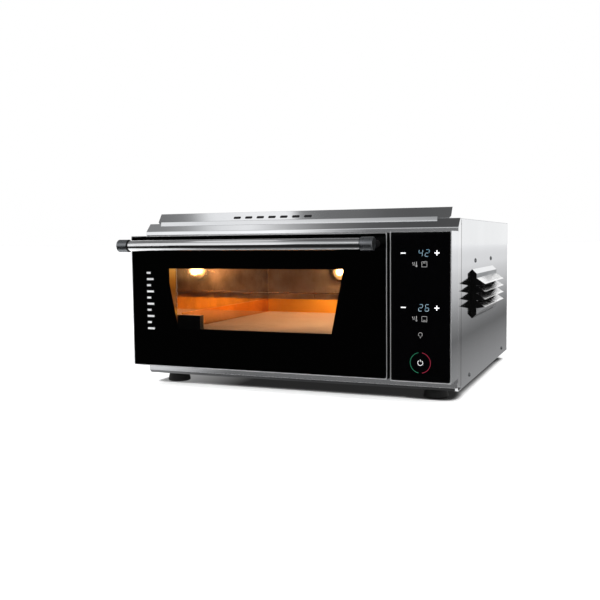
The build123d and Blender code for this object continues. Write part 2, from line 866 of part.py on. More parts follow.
# Door print: opaque layer behind the outer glass that leaves a trapezoid window clear.
print_y = glass_y + glass
with BuildPart() as door_print:
    with BuildSketch(Plane.XZ.offset(-print_y)):
        with Locations((door_centre, (door_bottom + door_top) / 2)):
            Rectangle(door_width, door_height)
        with BuildLine():
            Polyline(
                (window_centre - window_bottom_width / 2, window_bottom_z),
                (window_centre + window_bottom_width / 2, window_bottom_z),
                (window_centre + window_top_width / 2, window_top_z),
                (window_centre - window_top_width / 2, window_top_z),
                close=True,
            )
        make_face(mode=Mode.SUBTRACT)
    extrude(amount=-print_thickness)
    for x in post_xs:
        hole_r = handle_screw_r + screw_clear
        rod(x, print_y, handle_z, hole_r, print_thickness, (0, 1, 0), Mode.SUBTRACT)
save("door_print", door_print.part)

# Door frame: a rim round the glass, with an inward ledge behind the print and slots for the hinge arms.
ledge_y = print_y + print_thickness
with BuildPart() as door_frame:
    block(
        door_left - door_lip, door_right + door_lip, glass_y, door_rear_y,
        door_bottom - door_lip, door_top + door_lip,
    )
    block(
        door_left, door_right, glass_y, ledge_y, door_bottom, door_top, mode=Mode.SUBTRACT
    )
    block(
        door_left, door_right, ledge_y + sheet, door_rear_y, door_bottom, door_top,
        mode=Mode.SUBTRACT,
    )
    block(
        door_left + frame_ledge, door_right - frame_ledge, ledge_y, ledge_y + sheet,
        door_bottom + frame_ledge / 2, door_top - 2 * frame_ledge, mode=Mode.SUBTRACT,
    )
    for x in post_xs:
        hole_r = handle_screw_r + screw_clear
        rod(x, ledge_y, handle_z, hole_r, sheet, (0, 1, 0), Mode.SUBTRACT)
    for x in hinge_box_centres:
        block(
            x - arm_slot / 2, x + arm_slot / 2, pivot_y - arm_eye_r - 1, door_rear_y,
            door_bottom - door_lip, door_bottom, mode=Mode.SUBTRACT,
        )
save("door_frame", door_frame.part)

# Inner panel: closes the back of the door, with a window opening and slots for the hinge arms.
panel_y = door_rear_y - sheet
inner_window_width = chamber_width + 2 * inner_window_spread
inner_window_left = chamber_centre - inner_window_width / 2
inner_window_right = chamber_centre + inner_window_width / 2
inner_window_z0 = door_bottom + inner_window_sill
inner_window_z1 = door_top - inner_window_header
slot_top_z = door_bottom + arm_root_rise + arm_root_height / 2 + arm_slot_clear
with BuildPart() as door_inner_panel:
    block(door_left, door_right, panel_y, door_rear_y, door_bottom, door_top)
    block(
        inner_window_left, inner_window_right, panel_y, door_rear_y,
        inner_window_z0, inner_window_z1, mode=Mode.SUBTRACT,
    )
    for x in hinge_box_centres:
        block(
            x - arm_slot / 2, x + arm_slot / 2, panel_y, door_rear_y, door_bottom, slot_top_z,
            mode=Mode.SUBTRACT,
        )
save("door_inner_panel", door_inner_panel.part)

with BuildPart() as door_inner_glass:
    block(
        inner_window_left - inner_glass_overlap, inner_window_right + inner_glass_overlap,
        panel_y - glass, panel_y,
        inner_window_z0 - inner_glass_overlap / 2, inner_window_z1 + inner_glass_overlap,
    )
save("door_inner_glass", door_inner_glass.part)

# Glass retainers: Z-shaped clips fixed to the inner panel that hold the inner glass against it.
with BuildPart() as glass_retainers:
    top_edge = inner_window_z1 + inner_glass_overlap
    for x in (
        chamber_centre - inner_window_width / 3, chamber_centre, chamber_centre + inner_window_width / 3
    ):
        x0 = x - retainer_length / 2
        x1 = x + retainer_length / 2
        rear = panel_y
        front = panel_y - glass - sheet
        block(x0, x1, front, front + sheet, top_edge - retainer_width / 2, top_edge + sheet)
        block(x0, x1, front, rear, top_edge, top_edge + sheet)
        block(x0, x1, rear - sheet, rear, top_edge, top_edge + retainer_width)
    bottom_edge = inner_window_z0 - inner_glass_overlap / 2
    for x in (chamber_centre - inner_window_width / 4, chamber_centre + inner_window_width / 4):
        x0 = x - retainer_length / 2
        x1 = x + retainer_length / 2
        block(x0, x1, front, front + sheet, bottom_edge - sheet, bottom_edge + retainer_width / 2)
        block(x0, x1, front, rear, bottom_edge - sheet, bottom_edge)
        block(x0, x1, rear - sheet, rear, bottom_edge - retainer_width, bottom_edge)
save("glass_retainers", glass_retainers.part)

# --- Handle ---

with BuildPart() as handle_tube:
    x0 = handle_left + cap_length + ring_thickness
    tube_length = handle_length - 2 * (cap_length + ring_thickness)
    rod(x0, handle_y, handle_z, tube_r, tube_length, (1, 0, 0))
    rod(x0, handle_y, handle_z, tube_r - tube_wall, tube_length, (1, 0, 0), Mode.SUBTRACT)
save("handle_tube", handle_tube.part)

with BuildPart() as handle_rings:
    for x in (handle_left + cap_length, handle_right - cap_length - ring_thickness):
        rod(x, handle_y, handle_z, ring_r, ring_thickness, (1, 0, 0))
save("handle_rings", handle_rings.part)

with BuildPart() as handle_caps:
    for x in (handle_left, handle_right - cap_length):
        rod(x, handle_y, handle_z, cap_r, cap_length, (1, 0, 0))
    for end in (0, -1):
        fillet(handle_caps.faces().filter_by(Axis.X).sort_by(Axis.X)[end].edges(), radius=cap_round)
    for x in post_xs:
        rod(x, handle_y + cap_r, handle_z, post_r, cap_r - cap_wall, (0, -1, 0), Mode.SUBTRACT)
save("handle_caps", handle_caps.part)

post_end_y = handle_y + cap_wall
with BuildPart() as handle_posts:
    for x in post_xs:
        post_length = glass_y - post_end_y
        rod(x, glass_y, handle_z, post_r, post_length, (0, -1, 0))
        screw_in = handle_screw_length - (ledge_y + sheet - glass_y)
        rod(x, glass_y, handle_z, handle_screw_r, screw_in, (0, -1, 0), Mode.SUBTRACT)
save("handle_posts", handle_posts.part)

with BuildPart() as handle_screws:
    for x in post_xs:
        head_y = ledge_y + sheet
        rod(x, head_y, handle_z, 2 * handle_screw_r, handle_screw_r, (0, 1, 0))
        rod(x, head_y, handle_z, handle_screw_r, handle_screw_length, (0, -1, 0))
save("handle_screws", handle_screws.part)

# --- Hinges ---

# Hinge boxes: covers in the lower corners of the mouth that hold the roots of the hinge arms.
hinge_box_z1 = door_bottom + hinge_box_top
root_z = door_bottom + arm_root_rise
with BuildPart() as hinge_boxes:
    for x in hinge_box_centres:
        block(
            x - hinge_box_width / 2 + insulation_gap, x + hinge_box_width / 2 - insulation_gap,
            chamber_front, chamber_front + hinge_box_depth, chamber_floor_z, hinge_box_z1,
        )
        block(
            x - arm_thickness / 2, x + arm_thickness / 2,
            chamber_front, chamber_front + hinge_box_depth - sheet,
            root_z - arm_root_height / 2, root_z + arm_root_height / 2, mode=Mode.SUBTRACT,
        )
save("hinge_boxes", hinge_boxes.part)

# Hinge arms: cranked plates from the boxes down to the pivot inside the door.
shoulder_y = arm_eye_r * arm_shoulder[0]
shoulder_z = arm_eye_r * arm_shoulder[1]
with BuildPart() as hinge_arms:
    for x in hinge_box_centres:
        with BuildSketch(Plane.YZ.offset(x - arm_thickness / 2)):
            with BuildLine():
                half = arm_root_height / 2
                Polyline(
                    (chamber_front + hinge_box_depth - sheet, root_z - half),
                    (chamber_front + hinge_box_depth - sheet, root_z + half),
                    (front_y - arm_upper_crank, root_z + half),
                    (pivot_y - shoulder_y, pivot_z + shoulder_z),
                    (pivot_y, pivot_z - arm_eye_r / 2),
                    (pivot_y + shoulder_y, pivot_z - shoulder_z),
                    (front_y - arm_lower_crank, root_z - half),
                    close=True,
                )
            make_face()
            with Locations((pivot_y, pivot_z)):
                Circle(arm_eye_r)
                Circle(hinge_pin_r + running, mode=Mode.SUBTRACT)
        extrude(amount=arm_thickness)
save("hinge_arms", hinge_arms.part)

# Door hinge brackets: a cheek each side of the arm's eye, standing on the door's lower rim.
with BuildPart() as door_hinge_brackets:
    for x in hinge_box_centres:
        for side in (-1, 1):
            near_x = x + side * (arm_thickness / 2 + bracket_gap)
            far_x = near_x + side * bracket_sheet
            x0, x1 = sorted((near_x, far_x))
            block(
                x0, x1, ledge_y + sheet, pivot_y + 2 * arm_eye_r,
                door_bottom, pivot_z + 2 * arm_eye_r,
            )
            foot_end = near_x + side * 3 * flange / 2
            x0, x1 = sorted((near_x, foot_end))
            block(
                x0, x1, ledge_y + sheet, pivot_y + 2 * arm_eye_r,
                door_bottom, door_bottom + bracket_sheet,
            )
        span = arm_thickness + 4 * bracket_gap + 2 * bracket_sheet
        rod(
            x - span / 2, pivot_y, pivot_z, hinge_pin_r + running, span, (1, 0, 0),
            Mode.SUBTRACT,
        )
save("door_hinge_brackets", door_hinge_brackets.part)

with BuildPart() as hinge_pins:
    for x in hinge_box_centres:
        span = arm_thickness + 2 * bracket_gap + 2 * bracket_sheet
        rod(x - span / 2 - pin_end, pivot_y, pivot_z, hinge_pin_r, span + pin_end, (1, 0, 0))
        rod(x - span / 2 - pin_head, pivot_y, pivot_z, 1.5 * hinge_pin_r, pin_head, (1, 0, 0))
save("hinge_pins", hinge_pins.part)

# Mouth gasket: a strip on the top and sides of the mouth that the door closes against.
with BuildPart() as mouth_gasket:
    y0 = door_rear_y + door_gap
    outer = gasket_inset + gasket_width
    legs_z0 = door_bottom + chamber_floor_rise
    block(
        chamber_left - outer, chamber_right + outer, y0, front_y, legs_z0,
        chamber_roof_z + outer,
    )
    block(
        chamber_left - gasket_inset, chamber_right + gasket_inset, y0, front_y, legs_z0,
        chamber_roof_z + gasket_inset, mode=Mode.SUBTRACT,
    )
save("mouth_gasket", mouth_gasket.part)

# --- Electronics bay ---

# Fan: square frame bolted behind the vent, with a rotor that spins on a pin in the frame's spider.
fan_inner_x = fan_outer_x - fan_depth
with BuildPart() as fan_frame:
    half_size = fan_size / 2
    spider_reach = fan_duct_r + (half_size - fan_duct_r) / 4
    block(
        fan_inner_x, fan_outer_x, fan_y - half_size, fan_y + half_size,
        fan_z - half_size, fan_z + half_size,
    )
    rod(fan_inner_x, fan_y, fan_z, fan_duct_r, fan_depth, (1, 0, 0), Mode.SUBTRACT)
    half = fan_hole_spacing / 2
    for dy in (-half, half):
        for dz in (-half, half):
            hole_r = fan_screw_r + screw_clear
            rod(fan_inner_x, fan_y + dy, fan_z + dz, hole_r, fan_depth, (1, 0, 0), Mode.SUBTRACT)
    rod(fan_inner_x, fan_y, fan_z, fan_hub_r, fan_spider, (1, 0, 0))
    block(
        fan_inner_x, fan_inner_x + fan_spider, fan_y - spider_reach, fan_y + spider_reach,
        fan_z - fan_spider / 2, fan_z + fan_spider / 2,
    )
    block(
        fan_inner_x, fan_inner_x + fan_spider, fan_y - fan_spider / 2, fan_y + fan_spider / 2,
        fan_z - spider_reach, fan_z + spider_reach,
    )
    rod(fan_inner_x, fan_y, fan_z, fan_shaft_r, fan_depth - 2 * fan_spider, (1, 0, 0))
save("fan_frame", fan_frame.part)

with BuildPart() as fan_rotor:
    rotor_x = fan_inner_x + fan_spider + fan_rotor_gap
    rotor_depth = fan_depth - 2 * fan_spider
    rod(rotor_x, fan_y, fan_z, fan_hub_r, rotor_depth, (1, 0, 0))
    blade_reach = fan_duct_r - fan_tip_gap
    blade_plane = Plane(origin=(rotor_x + rotor_depth / 2, fan_y, fan_z), z_dir=(1, 0, 0))
    with Locations(blade_plane):
        with PolarLocations((fan_hub_r + blade_reach) / 2 - fan_blade_root, fan_blades):
            Box(
                blade_reach - fan_hub_r + 2 * fan_blade_root, fan_blade_thickness, rotor_depth,
                rotation=(fan_blade_angle, 0, 0),
            )
    with Locations(blade_plane):
        Cylinder(blade_reach, fan_depth, mode=Mode.INTERSECT)
    rod(
        rotor_x, fan_y, fan_z, fan_shaft_r + running, fan_depth - 3 * fan_spider, (1, 0, 0),
        Mode.SUBTRACT,
    )
save("fan_rotor", fan_rotor.part)

with BuildPart() as fan_screws:
    half = fan_hole_spacing / 2
    for dy in (-half, half):
        for dz in (-half, half):
            y = fan_y + dy
            z = fan_z + dz
            rod(fan_inner_x, y, z, fan_screw_r, fan_depth + sheet, (1, 0, 0))
            rod(fan_inner_x, y, z, 1.8 * fan_screw_r, fan_screw_r, (-1, 0, 0))
save("fan_screws", fan_screws.part)

# Power board on standoffs against the divider, with its relays and transformer.
board_x = divider_x + sheet + standoff
power_y0 = back_y - power_board_rear - power_board_length
power_z0 = base_z + power_board_rise
board_corners = [
    (power_y0 + dy, power_z0 + dz)
    for dy in (flange / 2, power_board_length - flange / 2)
    for dz in (flange / 2, power_board_height - flange / 2)
]
with BuildPart() as power_board:
    block(
        board_x, board_x + board_thickness, power_y0, power_y0 + power_board_length,
        power_z0, power_z0 + power_board_height,
    )
    face_x = board_x + board_thickness
    relay_y, relay_z = relay_place
    board_parts = [((relay_y + n * relay_pitch, relay_z), relay_size) for n in range(relay_count)]
    board_parts.append((transformer_place, transformer_size))
    board_parts.append((connector_place, connector_size))
    for (along, rise), (thickness, length, height) in board_parts:
        y0 = power_y0 + along
        z0 = power_z0 + rise
        block(face_x, face_x + thickness, y0, y0 + length, z0, z0 + height)
save("power_board", power_board.part)

with BuildPart() as board_standoffs:
    for y, z in board_corners:
        rod(divider_x + sheet, y, z, standoff_r, standoff, (1, 0, 0))
save("board_standoffs", board_standoffs.part)

# Terminal block on the base pan, in front of the cable entry.
with BuildPart() as terminal_block:
    length_x, length_y, height = terminal_size
    y1 = back_y - 3 * gland_reach
    block(
        gland_x - length_x / 2, gland_x + length_x / 2, y1 - length_y, y1,
        base_z + sheet, base_z + sheet + height,
    )
    for n in range(terminal_count):
        y = y1 - length_y * (n + 0.5) / terminal_count
        z = base_z + sheet + height
        rod(gland_x, y, z, screw_head_r, height / 2, (0, 0, -1), Mode.SUBTRACT)
save("terminal_block", terminal_block.part)

# Cable gland: hexagon outside the panel, domed nose, thread through the panel, and a lock nut inside.
with BuildPart() as cable_gland:
    with BuildSketch(Plane(origin=(gland_x, back_y, gland_z), z_dir=(0, 1, 0))):
        RegularPolygon(gland_hex_r, 6)
    extrude(amount=gland_hex_height)
    nose = gland_reach - gland_hex_height
    rod(gland_x, back_y + gland_hex_height, gland_z, gland_hex_r * 0.82, nose, (0, 1, 0))
    fillet(cable_gland.faces().sort_by(Axis.Y)[-1].edges(), radius=nose / 4)
    rod(gland_x, back_y, gland_z, gland_thread_r, gland_thread_length, (0, -1, 0))
    gland_length = gland_thread_length + gland_reach
    rod(
        gland_x, back_y - gland_thread_length, gland_z, gland_bore_r, gland_length, (0, 1, 0),
        Mode.SUBTRACT,
    )
save("cable_gland", cable_gland.part)

with BuildPart() as gland_nut:
    with BuildSketch(Plane(origin=(gland_x, back_y - sheet, gland_z), z_dir=(0, -1, 0))):
        RegularPolygon(gland_hex_r, 6)
        Circle(gland_thread_r + screw_clear, mode=Mode.SUBTRACT)
    extrude(amount=gland_nut_height)
save("gland_nut", gland_nut.part)

print("pieces:", len(os.listdir("parts")))
print("pivot:", round(pivot_y, 3), round(pivot_z, 3))
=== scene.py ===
import json
import math

import bmesh
import bpy
import numpy as np
from mathutils import Matrix, Vector

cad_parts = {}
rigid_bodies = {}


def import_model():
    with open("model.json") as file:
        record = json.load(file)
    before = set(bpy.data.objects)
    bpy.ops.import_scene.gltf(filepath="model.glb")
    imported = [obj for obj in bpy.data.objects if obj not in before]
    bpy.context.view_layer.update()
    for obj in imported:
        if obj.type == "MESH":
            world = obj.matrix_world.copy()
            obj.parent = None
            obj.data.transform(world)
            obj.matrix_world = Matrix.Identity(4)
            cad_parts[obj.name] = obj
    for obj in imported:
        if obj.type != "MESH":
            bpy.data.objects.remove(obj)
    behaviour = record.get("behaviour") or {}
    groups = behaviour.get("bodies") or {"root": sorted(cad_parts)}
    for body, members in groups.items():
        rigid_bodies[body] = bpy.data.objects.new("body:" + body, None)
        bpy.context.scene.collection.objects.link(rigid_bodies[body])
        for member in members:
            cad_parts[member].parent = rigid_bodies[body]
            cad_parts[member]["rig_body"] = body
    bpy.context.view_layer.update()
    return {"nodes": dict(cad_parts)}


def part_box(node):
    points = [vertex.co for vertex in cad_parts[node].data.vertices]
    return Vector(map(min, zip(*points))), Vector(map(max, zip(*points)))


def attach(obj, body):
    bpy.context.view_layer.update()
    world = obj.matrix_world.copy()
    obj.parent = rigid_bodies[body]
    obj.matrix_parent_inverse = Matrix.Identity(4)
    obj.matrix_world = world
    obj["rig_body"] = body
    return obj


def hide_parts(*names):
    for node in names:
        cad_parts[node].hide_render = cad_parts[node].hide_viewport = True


# Looks for a countertop pizza oven: drop-down black glass door, touch control box, louvred vent.
# The frame's axes are X along the front, Y to the back, Z up from the counter. Pieces are worked
# out in millimetres and turned to metres with mm; the studio round them is laid out in metres.

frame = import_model()
nodes = frame["nodes"]
mm = 0.001


def boxInMm(nodeName):
    # a node's lowest and highest corner
    low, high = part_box(nodeName)
    return np.array(low) / mm, np.array(high) / mm


def addObject(name, data):
    thing = bpy.data.objects.new(name, data)
    bpy.context.scene.collection.objects.link(thing)
    return thing


def hexColour(text):
    # sRGB hex to linear light: low values divided by 12.92, the rest raised to 2.4
    shares = [int(text[i:i + 2], 16) / 255 for i in (1, 3, 5)]
    return [s / 12.92 if s <= 0.04045 else ((s + 0.055) / 1.055) ** 2.4 for s in shares] + [1.0]


def addNode(tree, kind, inputs=None, stops=None, **settings):
    # one node with its settings; an input is given a value, or a link where it is given a socket
    node = tree.nodes.new(kind)
    for name, value in settings.items():
        setattr(node, name, value)
    for key, value in (inputs or {}).items():
        if isinstance(value, bpy.types.NodeSocket):
            tree.links.new(value, node.inputs[key])
        else:
            node.inputs[key].default_value = value
    if stops:
        ramp = node.color_ramp
        while len(ramp.elements) < len(stops):
            ramp.elements.new(1.0)
        for element, (place, colour) in zip(ramp.elements, stops):
            element.position = place
            element.color = colour
    return node


def newMaterial(name):
    # an empty material, its nodes, and the place on the object that its patterns start from
    material = bpy.data.materials.new(name)
    material.use_nodes = True
    tree = material.node_tree
    tree.nodes.clear()
    return material, tree, addNode(tree, "ShaderNodeTexCoord").outputs["Object"]


def closeMaterial(tree, surface):
    addNode(tree, "ShaderNodeOutputMaterial", {"Surface": surface})


cameraPlan = {
    "across": 0.51710,                      # to the right of the oven's middle
    "ahead": 1.15949,                       # in front of the control glass
    "height": 0.25167,                      # just under the level of the top
    "turn": 22.850,                         # degrees to the left of straight ahead
    "dip": 4.2525,                          # degrees below the horizon
    "lean": -0.5944,                        # degrees of roll
    "lens": 47.601,
    "sensor": 36.0,
}

lens = bpy.data.cameras.new("studioCamera")
lens.lens = cameraPlan["lens"]
lens.sensor_width = cameraPlan["sensor"]
lens.clip_start = 0.01
camera = addObject("studioCamera", lens)
standing = (
    cameraPlan["across"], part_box("control_glass")[0][1] - cameraPlan["ahead"], cameraPlan["height"],
)
camera.matrix_world = (
    Matrix.Translation(standing)
    @ Matrix.Rotation(math.radians(cameraPlan["turn"]), 4, "Z")
    @ Matrix.Rotation(math.radians(90 - cameraPlan["dip"]), 4, "X")
    @ Matrix.Rotation(math.radians(cameraPlan["lean"]), 4, "Z")
)
bpy.context.scene.camera = camera
bpy.context.scene.view_settings.view_transform = "Standard"
print("camera placed")


def rolledMetal(name, look):
    # polished or rolled sheet: a slow noise shifts the colour, and a noise stretched along the
    # rolling direction moves the roughness and lifts the surface by a few microns
    material, tree, where = newMaterial(name)
    stretched = addNode(tree, "ShaderNodeMapping", {
        "Vector": where, "Scale": [1 / (size * mm) for size in look["grain"]],
    }).outputs[0]
    grain = addNode(tree, "ShaderNodeTexNoise", {
        "Vector": stretched, "Scale": 1.0, "Detail": 3.0, "Roughness": 0.6,
    }).outputs[0]
    clouds = addNode(tree, "ShaderNodeTexNoise", {
        "Vector": where, "Scale": 1 / (look["cloud"] * mm), "Detail": 3.0, "Roughness": 0.55,
    }).outputs[0]
    colour = addNode(tree, "ShaderNodeValToRGB", {"Fac": clouds}, stops=[
        (0.32, hexColour(look["dark"])), (0.68, hexColour(look["light"])),
    ]).outputs[0]
    low, high = look["roughness"]
    streaks = addNode(tree, "ShaderNodeMapRange", {
        "Value": grain, "From Min": 0.3, "From Max": 0.7, "To Min": low, "To Max": high,
    }).outputs[0]
    relief = addNode(tree, "ShaderNodeBump", {
        "Height": grain, "Strength": look["relief"], "Distance": 0.02 * mm,
    }).outputs[0]
    shader = addNode(tree, "ShaderNodeBsdfPrincipled", {
        "Base Color": colour, "Metallic": 1.0, "Roughness": streaks, "Normal": relief,
    }).outputs[0]
    closeMaterial(tree, shader)
    return material


# 304 stainless sheet, bright annealed: clear reflections, drawn out a little along the rolling
brightSheet = rolledMetal("brightStainlessSheet", {
    "grain": (90.0, 90.0, 0.9), "cloud": 160.0, "dark": "#dcdee0", "light": "#e8e9ea",
    "roughness": (0.055, 0.085), "relief": 0.10,
})
# the same sheet where its grain stands upright, on the sides
brightUpright = rolledMetal("brightStainlessUpright", {
    "grain": (90.0, 1.1, 120.0), "cloud": 200.0, "dark": "#dddfe1", "light": "#e6e8ea",
    "roughness": (0.05, 0.085), "relief": 0.08,
})
# mirror-polished chamber lining, a little tinted by heat: sharp reflections with a straw cast
chamberMirror = rolledMetal("heatTintedChamberSteel", {
    "grain": (1.3, 60.0, 60.0), "cloud": 45.0, "dark": "#b39a80", "light": "#d6bfa6",
    "roughness": (0.04, 0.08), "relief": 0.10,
})
# the back wall is only satin: it spreads the lamp's light in a wide patch
chamberSatin = rolledMetal("satinChamberSteel", {
    "grain": (1.3, 60.0, 60.0), "cloud": 45.0, "dark": "#9c8776", "light": "#bba999",
    "roughness": (0.27, 0.36), "relief": 0.15,
})
# the liner that holds the stone: satin, straw-gold from the heat, so it glows under the lamp
goldenLiner = rolledMetal("strawTintedLinerSteel", {
    "grain": (60.0, 60.0, 1.6), "cloud": 60.0, "dark": "#e0a03a", "light": "#f6b94c",
    "roughness": (0.52, 0.64), "relief": 0.12,
})
goldenMirror = rolledMetal("strawTintedPolishedSteel", {
    "grain": (60.0, 60.0, 1.6), "cloud": 60.0, "dark": "#d19a5e", "light": "#e8b679",
    "roughness": (0.05, 0.10), "relief": 0.08,
})
# duller sheet of the hood's neck: a mid grey with no clear reflection
dullSteel = rolledMetal("dullRolledSteel", {
    "grain": (40.0, 1.5, 40.0), "cloud": 60.0, "dark": "#929597", "light": "#a6a9ab",
    "roughness": (0.34, 0.46), "relief": 0.20,
})
# satin sheet of the back and the left side: an even mid grey that spreads the room's light
satinUpright = rolledMetal("satinStainlessUpright", {
    "grain": (90.0, 1.1, 120.0), "cloud": 240.0, "dark": "#a3a6a8", "light": "#adb0b2",
    "roughness": (0.28, 0.36), "relief": 0.12,
})
# brushed upper faces of the louvres: a lighter copy of the hood's steel as a painted highlight, with
# the reflection spread out
louvrePaintedHighlight = rolledMetal("brushedLouvrePaintedHighlight", {
    "grain": (40.0, 1.2, 40.0), "cloud": 60.0, "dark": "#eeefef", "light": "#f7f7f7",
    "roughness": (0.16, 0.24), "relief": 0.15,
})
# satin stainless of the thin rims round the glasses: soft, even shine on a narrow edge
satinRim = rolledMetal("satinStainlessRim", {
    "grain": (40.0, 40.0, 1.2), "cloud": 60.0, "dark": "#cfd0d1", "light": "#dddedf",
    "roughness": (0.34, 0.46), "relief": 0.12,
})
# hot-dip galvanised sheet: dull grey with soft zinc flowers
zincSheet = rolledMetal("galvanisedSheet", {
    "grain": (9.0, 9.0, 9.0), "cloud": 22.0, "dark": "#8f9496", "light": "#b4b8ba",
    "roughness": (0.32, 0.52), "relief": 0.2,
})
# polished stainless tube: long clear bands of light along its length
polishedTube = rolledMetal("polishedHandleTube", {
    "grain": (140.0, 1.4, 1.4), "cloud": 180.0, "dark": "#d9dadb", "light": "#e4e5e6",
    "roughness": (0.08, 0.13), "relief": 0.06,
})
# turned aluminium, satin anodised: fine rings round the axis and a soft sheen
turnedAluminium = rolledMetal("satinTurnedAluminium", {
    "grain": (0.7, 60.0, 60.0), "cloud": 40.0, "dark": "#7c7f82", "light": "#94979a",
    "roughness": (0.24, 0.36), "relief": 0.25,
})
# dark bead-blasted stainless of the door's inside: a low sheen that keeps the door black; the same
# steel darkens the hood skirt's underside as painted shade
darkDoorSteelAndPaintedShade = rolledMetal("darkDoorSteelAndPaintedShade", {
    "grain": (60.0, 60.0, 1.5), "cloud": 90.0, "dark": "#4a4b4d", "light": "#5a5b5d",
    "roughness": (0.25, 0.4), "relief": 0.15,
})
# black-passivated screw steel: small dark heads that catch one glint
screwSteel = rolledMetal("passivatedScrewSteel", {
    "grain": (1.2, 1.2, 1.2), "cloud": 6.0, "dark": "#67696b", "light": "#8b8d8f",
    "roughness": (0.16, 0.28), "relief": 0.12,
})
# black-oxide hinge steel: near black with a faint oily sheen
oxideSteel = rolledMetal("blackOxideSteel", {
    "grain": (8.0, 8.0, 1.6), "cloud": 14.0, "dark": "#171718", "light": "#222223",
    "roughness": (0.35, 0.5), "relief": 0.2,
})
# sheathed heating rod, browned by heat: dull scale with purple-brown patches
rodSheath = rolledMetal("brownedElementSheath", {
    "grain": (3.0, 5.0, 3.0), "cloud": 18.0, "dark": "#4c423c", "light": "#75685e",
    "roughness": (0.38, 0.55), "relief": 0.3,
})
print("metals made")


def mouldedMaterial(name, look):
    # cast or moulded body: two noises, one for slow shifts of colour and one for the skin's grain
    material, tree, where = newMaterial(name)
    clouds = addNode(tree, "ShaderNodeTexNoise", {
        "Vector": where, "Scale": 1 / (look["cloud"] * mm), "Detail": 4.0, "Roughness": 0.6,
    }).outputs[0]
    skin = addNode(tree, "ShaderNodeTexNoise", {
        "Vector": where, "Scale": 1 / (look["skin"] * mm), "Detail": 2.0, "Roughness": 0.5,
    }).outputs[0]
    colour = addNode(tree, "ShaderNodeValToRGB", {"Fac": clouds}, stops=[
        (0.3, hexColour(look["dark"])), (0.7, hexColour(look["light"])),
    ]).outputs[0]
    low, high = look["roughness"]
    sheen = addNode(tree, "ShaderNodeMapRange", {
        "Value": skin, "From Min": 0.3, "From Max": 0.7, "To Min": low, "To Max": high,
    }).outputs[0]
    relief = addNode(tree, "ShaderNodeBump", {
        "Height": skin, "Strength": look["relief"], "Distance": look["depth"] * mm,
    }).outputs[0]
    shader = addNode(tree, "ShaderNodeBsdfPrincipled", {
        "Base Color": colour, "Roughness": sheen, "Normal": relief, "IOR": look["ior"],
    }).outputs[0]
    closeMaterial(tree, shader)
    return material


# glass-filled nylon, black: fine spark-eroded grain and a low sheen
blackNylon = mouldedMaterial("blackGlassFilledNylon", {
    "cloud": 30.0, "skin": 0.6, "dark": "#121213", "light": "#1b1b1c",
    "roughness": (0.38, 0.5), "relief": 0.25, "depth": 0.03, "ior": 1.53,
})
# black nitrile foot: dull, slightly dusty
footRubber = mouldedMaterial("blackNitrileRubber", {
    "cloud": 9.0, "skin": 0.8, "dark": "#0e0e0e", "light": "#181817",
    "roughness": (0.62, 0.8), "relief": 0.3, "depth": 0.04, "ior": 1.52,
})
# steatite lamp holder: off-white, matt and dense
lampCeramic = mouldedMaterial("steatiteCeramic", {
    "cloud": 12.0, "skin": 0.7, "dark": "#d8d0c2", "light": "#e8e2d6",
    "roughness": (0.5, 0.65), "relief": 0.2, "depth": 0.03, "ior": 1.6,
})
# terminal block polyamide: pale grey and smooth
paleNylon = mouldedMaterial("paleTerminalNylon", {
    "cloud": 15.0, "skin": 0.5, "dark": "#c7c9c5", "light": "#d6d7d3",
    "roughness": (0.35, 0.45), "relief": 0.15, "depth": 0.02, "ior": 1.53,
})
# mineral wool slab: matted yellowish fibre, no shine
mineralWool = mouldedMaterial("mineralWool", {
    "cloud": 8.0, "skin": 1.1, "dark": "#9a9067", "light": "#c0b68c",
    "roughness": (0.9, 1.0), "relief": 0.9, "depth": 0.6, "ior": 1.45,
})


def stoneMaterial():
    # pressed cordierite: buff grains, a few dark specks where grit shows, and faint scorch clouds
    look = {
        "grain": 0.9, "speck": 16.0, "cloud": 70.0,     # millimetres
        "dark": "#a88d79", "light": "#bca28e", "scorch": "#967b66", "grit": "#241812",
        "speckSize": 0.075, "roughness": 0.85,
    }
    material, tree, where = newMaterial("pressedCordieriteStone")
    grain = addNode(tree, "ShaderNodeTexNoise", {
        "Vector": where, "Scale": 1 / (look["grain"] * mm), "Detail": 3.0, "Roughness": 0.6,
    }).outputs[0]
    body = addNode(tree, "ShaderNodeValToRGB", {"Fac": grain}, stops=[
        (0.3, hexColour(look["dark"])), (0.7, hexColour(look["light"])),
    ]).outputs[0]
    clouds = addNode(tree, "ShaderNodeTexNoise", {
        "Vector": where, "Scale": 1 / (look["cloud"] * mm), "Detail": 4.0, "Roughness": 0.6,
    }).outputs[0]
    scorchShare = addNode(tree, "ShaderNodeMapRange", {
        "Value": clouds, "From Min": 0.5, "From Max": 0.75, "To Min": 0.0, "To Max": 0.5,
    }).outputs[0]
    scorched = addNode(tree, "ShaderNodeMix", {
        0: scorchShare, 6: body, 7: hexColour(look["scorch"]),
    }, data_type="RGBA").outputs[2]
    cells = addNode(tree, "ShaderNodeTexVoronoi", {
        "Vector": where, "Scale": 1 / (look["speck"] * mm),
    }).outputs["Distance"]
    speckShare = addNode(tree, "ShaderNodeMapRange", {
        "Value": cells, "From Min": look["speckSize"] * 0.6, "From Max": look["speckSize"],
        "To Min": 0.85, "To Max": 0.0,
    }).outputs[0]
    speckled = addNode(tree, "ShaderNodeMix", {
        0: speckShare, 6: scorched, 7: hexColour(look["grit"]),
    }, data_type="RGBA").outputs[2]
    relief = addNode(tree, "ShaderNodeBump", {
        "Height": grain, "Strength": 0.5, "Distance": 0.15 * mm,
    }).outputs[0]
    shader = addNode(tree, "ShaderNodeBsdfPrincipled", {
        "Base Color": speckled, "Roughness": look["roughness"], "Normal": relief, "IOR": 1.5,
    }).outputs[0]
    closeMaterial(tree, shader)
    return material


